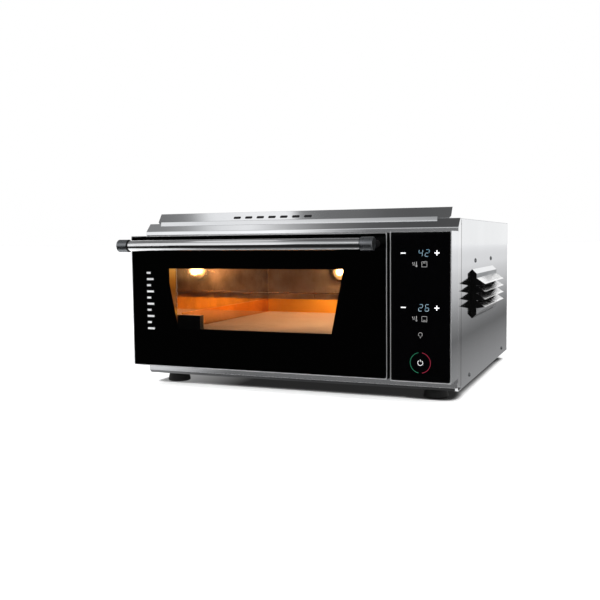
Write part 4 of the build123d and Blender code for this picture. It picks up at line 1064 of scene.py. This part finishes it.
# millimetres in from the casing's front, back, foot, top, left and right
screwPlan = {
    "sideLow": (91.0, 73.5, 12.8), "sideHigh": (140.4, 295.5, 68.7),
    "backIn": 30, "backUp": 20,
    "baseBehind": 16.0, "baseIn": (11.2, 72.8),
}
lowFront, lowBack, lowUp = screwPlan["sideLow"]
highFront, highBack, highDown = screwPlan["sideHigh"]
sidePlaces = [
    (frontY + lowFront, baseZ + lowUp), (backY - lowBack, baseZ + lowUp),
    (frontY + highFront, topZ - highDown), (frontY + highBack, topZ - highDown),
]
middleX = (bodyLeft + bodyRight) / 2
makeScrewHeads("sideScrews", "side_screws", [
    ((x, y, z), (out, 0, 0)) for x, out in ((bodyLeft, -1), (bodyRight, 1)) for y, z in sidePlaces
])
backIn, backUp = screwPlan["backIn"], screwPlan["backUp"]
makeScrewHeads("backScrews", "back_screws", [
    ((x, backY, z), (0, 1, 0))
    for x in (bodyLeft + backIn, middleX, bodyRight - backIn)
    for z in (baseZ + backUp, topZ - backUp)
])
near, far = screwPlan["baseIn"]
makeScrewHeads("baseScrews", "base_screws", [
    ((x, frontY + screwPlan["baseBehind"], baseZ), (0, 0, -1))
    for x in (bodyLeft + near, bodyLeft + far, middleX, bodyRight - far, bodyRight - near)
])
print("screw heads cut")


markPlan = {"lift": 0.02, "thickness": 0.06}        # millimetres proud of the face


def strokeRows(path, widths, plane, closed):
    # a stroke is a path with a width at each point: its edges lie half a width to each side along
    # the mean of the two neighbouring runs' normals, and it stands a little proud of the plane
    path = np.asarray(path, float)
    widths = np.broadcast_to(np.asarray(widths, float), len(path))
    if closed:
        before, after = path - np.roll(path, 1, 0), np.roll(path, -1, 0) - path
    else:
        runs = np.diff(path, axis=0)
        before, after = np.vstack([runs[:1], runs]), np.vstack([runs, runs[-1:]])
    before = before / np.linalg.norm(before, axis=1, keepdims=True)
    after = after / np.linalg.norm(after, axis=1, keepdims=True)
    normalBefore = before[:, ::-1] * [-1, 1]
    normalAfter = after[:, ::-1] * [-1, 1]
    together = np.sum(normalBefore * normalAfter, 1, keepdims=True)
    mitre = (normalBefore + normalAfter) / (1 + together)
    offset = mitre * widths[:, None] / 2
    left, right = path + offset, path - offset
    origin, across, up, out = (np.array(part, float) for part in plane)
    flat = np.stack([left, right, right, left], 1)
    lift, top = markPlan["lift"], markPlan["lift"] + markPlan["thickness"]
    heights = np.array([lift, lift, top, top])
    points = origin + flat[..., :1] * across + flat[..., 1:] * up + heights[None, :, None] * out
    return {"points": points * mm, "loopRows": closed, "caps": not closed}


def ring(centre, radius, start=0.0, end=360.0, count=40):
    # points round a circle, from one angle to another, measured from straight up
    closed = abs(end - start - 360.0) < 1e-6
    angle = np.radians(np.linspace(start, end, count, endpoint=not closed))
    return np.column_stack([centre[0] + radius * np.sin(angle), centre[1] + radius * np.cos(angle)])


def squarePath(x, y, size):
    half = size / 2
    return [(x - half, y - half), (x + half, y - half), (x + half, y + half), (x - half, y + half)]


# the seven segments of a digit, in shares of half its width and half its height
segmentEnds = {
    "a": ((-1, 1), (1, 1)), "b": ((1, 1), (1, 0)), "c": ((1, 0), (1, -1)),
    "d": ((-1, -1), (1, -1)), "e": ((-1, 0), (-1, -1)), "f": ((-1, 1), (-1, 0)),
    "g": ((-1, 0), (1, 0)),
}
digitSegments = {2: "abged", 4: "fgbc", 6: "afgedc"}
digitPlan = {
    "half": (2.7, 5.0), "stroke": 0.78, "tip": 0.15, "taper": 0.7, "gap": 0.3, "slant": 0.12,
}


def digitStrokes(digit, centre):
    # each lit segment is a bar that tapers at both ends and leans with the digit
    strokes = []
    tip, width = digitPlan["tip"], digitPlan["stroke"]
    for letter in digitSegments[digit]:
        a, b = (np.array(end) * digitPlan["half"] for end in segmentEnds[letter])
        run = (b - a) / np.linalg.norm(b - a)
        a, b = a + run * digitPlan["gap"], b - run * digitPlan["gap"]
        path = np.array([a, a + run * digitPlan["taper"], b - run * digitPlan["taper"], b])
        path[:, 0] += path[:, 1] * digitPlan["slant"]
        strokes.append((path + np.array(centre), [tip, width, width, tip], False))
    return strokes


def makeMarks(name, strokes, plane, material, body):
    grids = [strokeRows(path, widths, plane, closed) for path, widths, closed in strokes]
    addPiece(name, meshFromGrids(name, grids, 20), material, body)


def line(x0, z0, x1, z1, width):
    # one straight stroke
    return ([(x0, z0), (x1, z1)], width, False)


glassLow, glassHigh = boxInMm("control_glass")
# marks are measured in millimetres from the control glass's upper left corner, downwards negative
controlPlane = ((glassLow[0], glassLow[1], glassHigh[2]), (1, 0, 0), (0, 0, 1), (0, -1, 0))
controlPlan = {
    "rows": (-29.9, -111.7),            # centre of each row of digits
    "digits": ((4, 2), (2, 6)),
    "digitX": (44.9, 54.7),
    "minusX": 18.2, "plusX": 69.4, "signWidth": 1.6, "signSpan": 7.6,
    "iconDrop": 16.8, "squareX": 50.5, "squareSize": 7.7, "barInset": 1.9, "probeX": 36.7,
    "line": 0.62, "bulb": (44.5, -152.0), "power": (44.4, -194.9),
    "keyRadius": 15.5, "keyLine": 0.9,
}
# the small symbols, in millimetres from each one's middle
iconPlan = {
    "barLine": 0.7,
    "stemX": 1.8, "stem": (-1.4, 4.0), "stemLine": 1.0,
    "bulbZ": -2.6, "bulbRadius": 0.8, "bulbLine": 1.1,
    "waveX": (-3.6, -1.1), "waveFoot": -1.8, "waveRise": 5.0, "waveSway": 0.6,
    "lampRadius": 2.9, "lampBars": ((1.2, -3.8), (0.6, -5.1)), "lampLine": 0.75,
    "powerRadius": 3.9, "powerBar": (1.9, 5.0), "powerLine": 0.6,
}


def controlMarks():
    white, grey, digits = [], [], []
    half, thick, thin = controlPlan["signSpan"] / 2, controlPlan["signWidth"], controlPlan["line"]
    for row, z in enumerate(controlPlan["rows"]):
        for x, digit in zip(controlPlan["digitX"], controlPlan["digits"][row]):
            digits += digitStrokes(digit, (x, z))
        for x in (controlPlan["minusX"], controlPlan["plusX"]):
            white.append(line(x - half, z, x + half, z, thick))
        for side in (-1, 1):        # the plus sign's upright, in two halves
            white.append(line(x, z + side * thick / 2, x, z + side * half, thick))
        # square with a bar at the top or the bottom: upper heat and lower heat
        x, size = controlPlan["squareX"], controlPlan["squareSize"]
        drop = z - controlPlan["iconDrop"]
        grey.append((squarePath(x, drop, size), thin, True))
        reach = size / 2 - controlPlan["barInset"]
        bar = drop + (1 if row == 0 else -1) * reach
        grey.append(line(x - reach, bar, x + reach, bar, iconPlan["barLine"]))
        # probe symbol: a round bulb, its stem and two short waves of heat beside it
        x = controlPlan["probeX"] + iconPlan["stemX"]
        bulb = ring((x, drop + iconPlan["bulbZ"]), iconPlan["bulbRadius"], count=20)
        grey.append((bulb, iconPlan["bulbLine"], True))
        foot, head = iconPlan["stem"]
        grey.append(line(x, drop + foot, x, drop + head, iconPlan["stemLine"]))
        wave = np.linspace(0, 1, 12)
        for u in iconPlan["waveX"]:
            grey.append((np.column_stack([
                controlPlan["probeX"] + u + iconPlan["waveSway"] * np.sin(2 * math.pi * wave),
                drop + iconPlan["waveFoot"] + iconPlan["waveRise"] * wave,
            ]), iconPlan["barLine"], False))
    x, z = controlPlan["bulb"]      # lamp key: an open circle over two short bars
    grey.append((ring((x, z), iconPlan["lampRadius"], -150, 150), thin, False))
    for reach, down in iconPlan["lampBars"]:
        grey.append(line(x - reach, z + down, x + reach, z + down, iconPlan["lampLine"]))
    x, z = controlPlan["power"]     # power sign: an open circle with an upright bar
    white.append((ring((x, z), iconPlan["powerRadius"], 35, 325), iconPlan["powerLine"], False))
    foot, head = iconPlan["powerBar"]
    white.append(line(x, z + foot, x, z + head, iconPlan["powerLine"]))
    return white, grey, digits


white, grey, digits = controlMarks()
# round on-off key: a thin ring, green on its left half and red on its right half
greenHalf, redHalf = (
    [(ring(controlPlan["power"], controlPlan["keyRadius"], *span), controlPlan["keyLine"], False)]
    for span in ((190, 350), (10, 170))
)
for name, strokes, material in (
    ("whiteLegends", white, legendWhite), ("greyLegends", grey, legendGrey),
    ("litDigits", digits, digitGlow), ("greenKeyRing", greenHalf, keyGreen),
    ("redKeyRing", redHalf, keyRed),
):
    makeMarks(name, strokes, controlPlane, material, "casing")

doorPlane = (boxInMm("door_outer_glass")[0], (1, 0, 0), (0, 0, 1), (0, -1, 0))
tickPlan = {
    "left": 28.8, "reach": (13.7, 8.0),         # long and short ticks take turns
    "first": 64.0, "pitch": 10.65, "count": 10, "width": 3.4,
}
ticks = []
for n in range(tickPlan["count"]):
    z, left = tickPlan["first"] + n * tickPlan["pitch"], tickPlan["left"]
    ticks.append(line(left, z, left + tickPlan["reach"][n % 2], z, tickPlan["width"]))
makeMarks("doorTicks", ticks, doorPlane, whiteEnamel, "door")

# plain slots etched in a row on the deflector's leaning face
slotPlan = {
    "lean": 35.0, "left": 150.7, "pitch": 22.0, "count": 7, "rise": 10.0,
    "length": 14.0, "taper": 1.2, "width": 5.0, "tip": 1.6,
}
leaf = math.radians(slotPlan["lean"])
leafPlane = (
    deflectorLow, (1, 0, 0),
    (0, math.sin(leaf), math.cos(leaf)), (0, -math.cos(leaf), math.sin(leaf)),
)
slotWidths = [slotPlan["tip"], slotPlan["width"], slotPlan["width"], slotPlan["tip"]]
slots = []
for n in range(slotPlan["count"]):
    start = slotPlan["left"] + n * slotPlan["pitch"]
    end, taper = start + slotPlan["length"], slotPlan["taper"]
    along = (start, start + taper, end - taper, end)
    slots.append(([(u, slotPlan["rise"]) for u in along], slotWidths, False))
makeMarks("deflectorSlots", slots, leafPlane, etchedInk, "casing")
# thin upright seam in the middle of the hood's neck
seamLine = {"out": 7.5, "top": -8.5, "foot": -14.0, "width": 0.8}
neckPlane = (
    (bodyRight + seamLine["out"], (hoodLow[1] + hoodHigh[1]) / 2, hoodHigh[2]),
    (0, 1, 0), (0, 0, 1), (1, 0, 0),
)
makeMarks("hoodSeam", [line(0, seamLine["top"], 0, seamLine["foot"], seamLine["width"])],
          neckPlane, etchedInk, "casing")
print("marks drawn")


def cardMaterial(name, stops):
    # a lit card whose brightness changes along x; stops give (metres across, brightness)
    material, tree, where = newMaterial(name)
    across = addNode(tree, "ShaderNodeSeparateXYZ", {0: where}).outputs[0]
    first, last = stops[0][0], stops[-1][0]
    share = addNode(tree, "ShaderNodeMapRange", {
        "Value": across, "From Min": first, "From Max": last,
    }).outputs[0]
    colour = addNode(tree, "ShaderNodeValToRGB", {"Fac": share}, stops=[
        ((place - first) / (last - first), (level, level, level * 1.01, 1.0))
        for place, level in stops
    ]).outputs[0]
    glow = addNode(tree, "ShaderNodeEmission", {"Color": colour, "Strength": 1.0}).outputs[0]
    closeMaterial(tree, glow)
    return material


def addCard(name, span, near, far, stops):
    # a flat card seen only in reflections: it lights nothing and the camera looks through it.
    # span is its reach in x; near and far are the (y, z) of its two long edges
    (x0, x1), (y0, z0), (y1, z1) = span, near, far
    mesh = bpy.data.meshes.new(name)
    mesh.from_pydata([(x0, y0, z0), (x1, y0, z0), (x1, y1, z1), (x0, y1, z1)], [], [(0, 1, 2, 3)])
    mesh.materials.append(cardMaterial(name, stops))
    card = addObject(name, mesh)
    card.visible_camera = False
    card.visible_diffuse = False
    card.visible_shadow = False


wallY, tableZ, ceilingZ = -3.2, 0.002, 2.0      # metres: the front wall, the table, the ceiling
wide, close, ceiling = (-7, 6), (-2.8, 1.2), (-6, 6)
beamFront, leafFront, slopeFront, rearFront = -1.32, -0.88, -0.46, 0.12
cardPlan = {
    # dark wall and dark table in front: they keep the door black
    "frontCard": (close, (wallY, 0), (wallY, 0.29), [(-2.8, 0.02), (1.2, 0.02)]),
    "frontTable": (close, (wallY, tableZ), (-0.44, tableZ), [(-2.8, 0.02), (1.2, 0.02)]),
    # strip of table seen in the rail under the door: bright to the left, dim to the right
    "railStrip": (wide, (-0.44, tableZ), (-0.29, tableZ), [
        (-7, 0.9), (-0.45, 0.9), (-0.33, 0.75), (-0.27, 0.4), (-0.2, 0.17), (-0.1, 0.18),
        (0.0, 0.17), (6, 0.15),
    ]),
    # dark strip of table under the front edge, seen only in reflections: painted shadow of the table
    # under the oven, mirrored in the rail's lower bevel
    "underStrip": ((-0.31, 0.262), (-0.25, tableZ), (0.2, tableZ), [
        (-0.31, 0.3), (-0.2, 0.12), (0.0, 0.05), (0.262, 0.04),
    ]),
    # low strip of the front wall, seen in the lip over the door; above it the wall is bright
    "lipStrip": (wide, (wallY, 0.29), (wallY, 0.45), [
        (-7, 0.3), (-2.3, 0.3), (-2.0, 0.45), (-1.85, 0.95), (-1.25, 0.95), (-1.0, 0.5),
        (-0.75, 0.35), (-0.4, 0.4), (6, 0.4),
    ]),
    "frontWall": (wide, (wallY, 0.45), (wallY, 1.05), [
        (-7, 0.95), (-1.9, 1.1), (-1.45, 1.25), (-1.28, 1.0), (-1.06, 0.5), (-0.85, 0.2),
        (-0.6, 0.22), (6, 0.25),
    ]),
    "frontWallTop": (wide, (wallY, 1.05), (wallY, ceilingZ), [(-7, 0.98), (6, 0.95)]),
    # ceiling in parts, front to back: a far soft box, a dark beam that draws a line along the
    # handle, the part the deflector mirrors, the part the slope mirrors, and a dim rear
    "farBox": (ceiling, (wallY, ceilingZ), (beamFront, ceilingZ), [
        (-6, 0.95), (-1.5, 0.95), (-1.15, 0.75), (-0.9, 0.6), (-0.65, 0.5), (-0.2, 0.35),
        (6, 0.35),
    ]),
    "darkBeam": (ceiling, (beamFront, ceilingZ), (leafFront, ceilingZ), [(-6, 0.15), (6, 0.15)]),
    "leafBox": (ceiling, (leafFront, ceilingZ), (slopeFront, ceilingZ), [
        (-6, 0.2), (-1.45, 0.2), (-1.28, 0.3), (-1.17, 1.0), (-0.79, 1.05), (-0.76, 0.3),
        (-0.66, 0.2), (-0.5, 0.17), (-0.35, 0.12), (6, 0.11),
    ]),
    "slopeBox": (ceiling, (slopeFront, ceilingZ), (rearFront, ceilingZ), [
        (-6, 0.2), (-1.36, 0.28), (-1.24, 0.4), (-1.10, 0.88), (-0.93, 0.98), (-0.78, 0.52),
        (-0.60, 0.22), (-0.43, 0.12), (-0.3, 0.09), (6, 0.08),
    ]),
    "rearBeam": (ceiling, (rearFront, ceilingZ), (3.0, ceilingZ), [(-6, 0.2), (6, 0.2)]),
    # table to the right, seen in the side panel: grey close by, dark further out, then pale
    "sideTable": ((0.2705, 39), (-0.2, tableZ), (39, tableZ), [
        (0.2705, 0.32), (0.307, 0.284), (0.328, 0.274), (0.352, 0.235), (0.38, 0.187),
        (0.414, 0.143), (0.454, 0.146), (0.503, 0.206), (0.564, 0.298), (0.644, 0.421),
        (0.75, 0.529), (0.901, 0.621), (1.129, 0.682), (1.516, 0.797), (2.318, 0.797),
        (4.97, 0.922), (7, 0.98), (39, 1.0),
    ]),
}
for name, (span, near, far, stops) in cardPlan.items():
    addCard(name, span, near, far, stops)


def raysThatSee(tree):
    # 1 for what the camera, a reflection or a view through glass sees, 0 for light on its way
    rays = addNode(tree, "ShaderNodeLightPath").outputs
    seen = addNode(tree, "ShaderNodeMath", {
        0: rays["Is Camera Ray"], 1: rays["Is Glossy Ray"],
    }, operation="ADD").outputs[0]
    return addNode(tree, "ShaderNodeMath", {
        0: seen, 1: rays["Is Transmission Ray"],
    }, operation="ADD", use_clamp=True).outputs[0]


def floorMaterial():
    # painted white table top: where nothing stands over it, it is white and lifted to meet the
    # background; close under the oven, where the share of open sky falls, its colour is darkened into
    # a painted shadow and the lift drops with it
    look = {
        "reach": 0.035, "open": (0.25, 0.56), "shade": "#1a1a1a", "paint": "#f3f3f3", "lift": 0.6,
        "left": (-0.25, 0.27), "right": (-0.12, 0.02),  # metres across, light left in the shadow
        "grain": 3.0, "roughness": (0.9, 1.0),
    }
    material, tree, where = newMaterial("whiteStudioTable")
    openness = addNode(tree, "ShaderNodeAmbientOcclusion", {
        "Distance": look["reach"],
    }, samples=48).outputs["AO"]
    share = addNode(tree, "ShaderNodeMapRange", {
        "Value": openness, "From Min": look["open"][0], "From Max": look["open"][1],
    }, interpolation_type="SMOOTHSTEP").outputs[0]
    # painted shadow: under the oven the lift is lighter to the left and darker to the right
    across = addNode(tree, "ShaderNodeSeparateXYZ", {0: where}).outputs[0]
    dim = addNode(tree, "ShaderNodeMapRange", {
        "Value": across, "From Min": look["left"][0], "From Max": look["right"][0],
        "To Min": look["left"][1], "To Max": look["right"][1],
    }).outputs[0]
    lift = addNode(tree, "ShaderNodeMix", {0: share, 2: dim, 3: look["lift"]}).outputs[0]
    lift = addNode(tree, "ShaderNodeMath", {
        0: lift, 1: raysThatSee(tree),
    }, operation="MULTIPLY").outputs[0]
    grain = addNode(tree, "ShaderNodeTexNoise", {
        "Vector": where, "Scale": look["grain"],
    }).outputs[0]
    roughness = addNode(tree, "ShaderNodeMapRange", {
        "Value": grain, "To Min": look["roughness"][0], "To Max": look["roughness"][1],
    }).outputs[0]
    # painted shadow: the paint's colour goes to the dark shade colour where the sky share falls
    colour = addNode(tree, "ShaderNodeMix", {
        0: share, 6: hexColour(look["shade"]), 7: hexColour(look["paint"]),
    }, data_type="RGBA").outputs[2]
    paint = addNode(tree, "ShaderNodeBsdfDiffuse", {
        "Color": colour, "Roughness": roughness,
    }).outputs[0]
    glow = addNode(tree, "ShaderNodeEmission", {
        "Color": (1, 1, 1, 1), "Strength": lift,
    }).outputs[0]
    closeMaterial(tree, addNode(tree, "ShaderNodeAddShader", {0: paint, 1: glow}).outputs[0])
    return material


floorMesh = bpy.data.meshes.new("studioTable")
floorMesh.from_pydata([(-40, -40, 0), (40, -40, 0), (40, 40, 0), (-40, 40, 0)], [], [(0, 1, 2, 3)])
floorMesh.materials.append(floorMaterial())
addObject("studioTable", floorMesh)

worldPlan = {"fill": 0.62, "seen": 1.0}     # strength that lights the oven, and that is looked at
world = bpy.data.worlds.new("whiteRoom")
bpy.context.scene.world = world
world.use_nodes = True
worldTree = world.node_tree
worldTree.nodes.clear()
strength = addNode(worldTree, "ShaderNodeMapRange", {
    "Value": raysThatSee(worldTree), "To Min": worldPlan["fill"], "To Max": worldPlan["seen"],
}).outputs[0]
room = addNode(worldTree, "ShaderNodeBackground", {
    "Color": (1, 1, 1, 1), "Strength": strength,
}).outputs[0]
addNode(worldTree, "ShaderNodeOutputWorld", {"Surface": room})


def addLight(name, kind, place, settings, unseen):
    # a light with its settings, hidden from the kinds of ray named last
    light = bpy.data.lights.new(name, kind)
    for key, value in settings.items():
        setattr(light, key, value)
    lamp = addObject(name, light)
    lamp.location = place
    for ray in unseen:
        setattr(lamp, "visible_" + ray, False)
    return lamp


lampPlan = {
    # soft boxes: place, aim, size in metres, watts
    "keyBox": ((-1.3, -1.3, 2.1), (0, 0, 0.15), 1.4, 34.0),
    "fillBox": ((1.9, 0.4, 1.6), (0.1, 0, 0.15), 1.2, 10.0),
}
for name, (place, aim, size, watts) in lampPlan.items():
    lamp = addLight(name, "AREA", place, {
        "shape": "DISK", "size": size, "energy": watts,
    }, ("camera", "glossy"))
    lamp.rotation_mode = "QUATERNION"
    lamp.rotation_quaternion = (Vector(aim) - Vector(place)).to_track_quat("-Z", "Y")

# the oven's own lamp, a little in front of its lens
ovenLampPlan = {"colour": "#ffcb94", "watts": 2.1, "radius": 0.008, "ahead": 14.0}
addLight("ovenLamp", "POINT", (
    lensMiddle[0] * mm, (lensLow[1] - ovenLampPlan["ahead"]) * mm, lensMiddle[2] * mm,
), {
    "color": hexColour(ovenLampPlan["colour"])[:3], "energy": ovenLampPlan["watts"],
    "shadow_soft_size": ovenLampPlan["radius"],
}, ("camera", "transmission"))
# warm fill under the chamber's roof: the polished walls pass the lamp's light forward to the stone
fillPlan = {
    "colour": "#ffd4ab", "watts": 0.27, "size": (0.26, 0.10),
    "ahead": 90.0, "below": 4.0,            # millimetres from the stone's middle and from the roof
}
fillX, stoneY = (stoneLow + stoneHigh)[:2] / 2
fillZ = boxInMm("chamber_roof")[0][2] - fillPlan["below"]
addLight("chamberFill", "AREA", (
    fillX * mm, (stoneY - fillPlan["ahead"]) * mm, fillZ * mm,
), {
    "shape": "RECTANGLE", "size": fillPlan["size"][0], "size_y": fillPlan["size"][1],
    "color": hexColour(fillPlan["colour"])[:3], "energy": fillPlan["watts"],
}, ("camera", "glossy"))
print("studio lit")
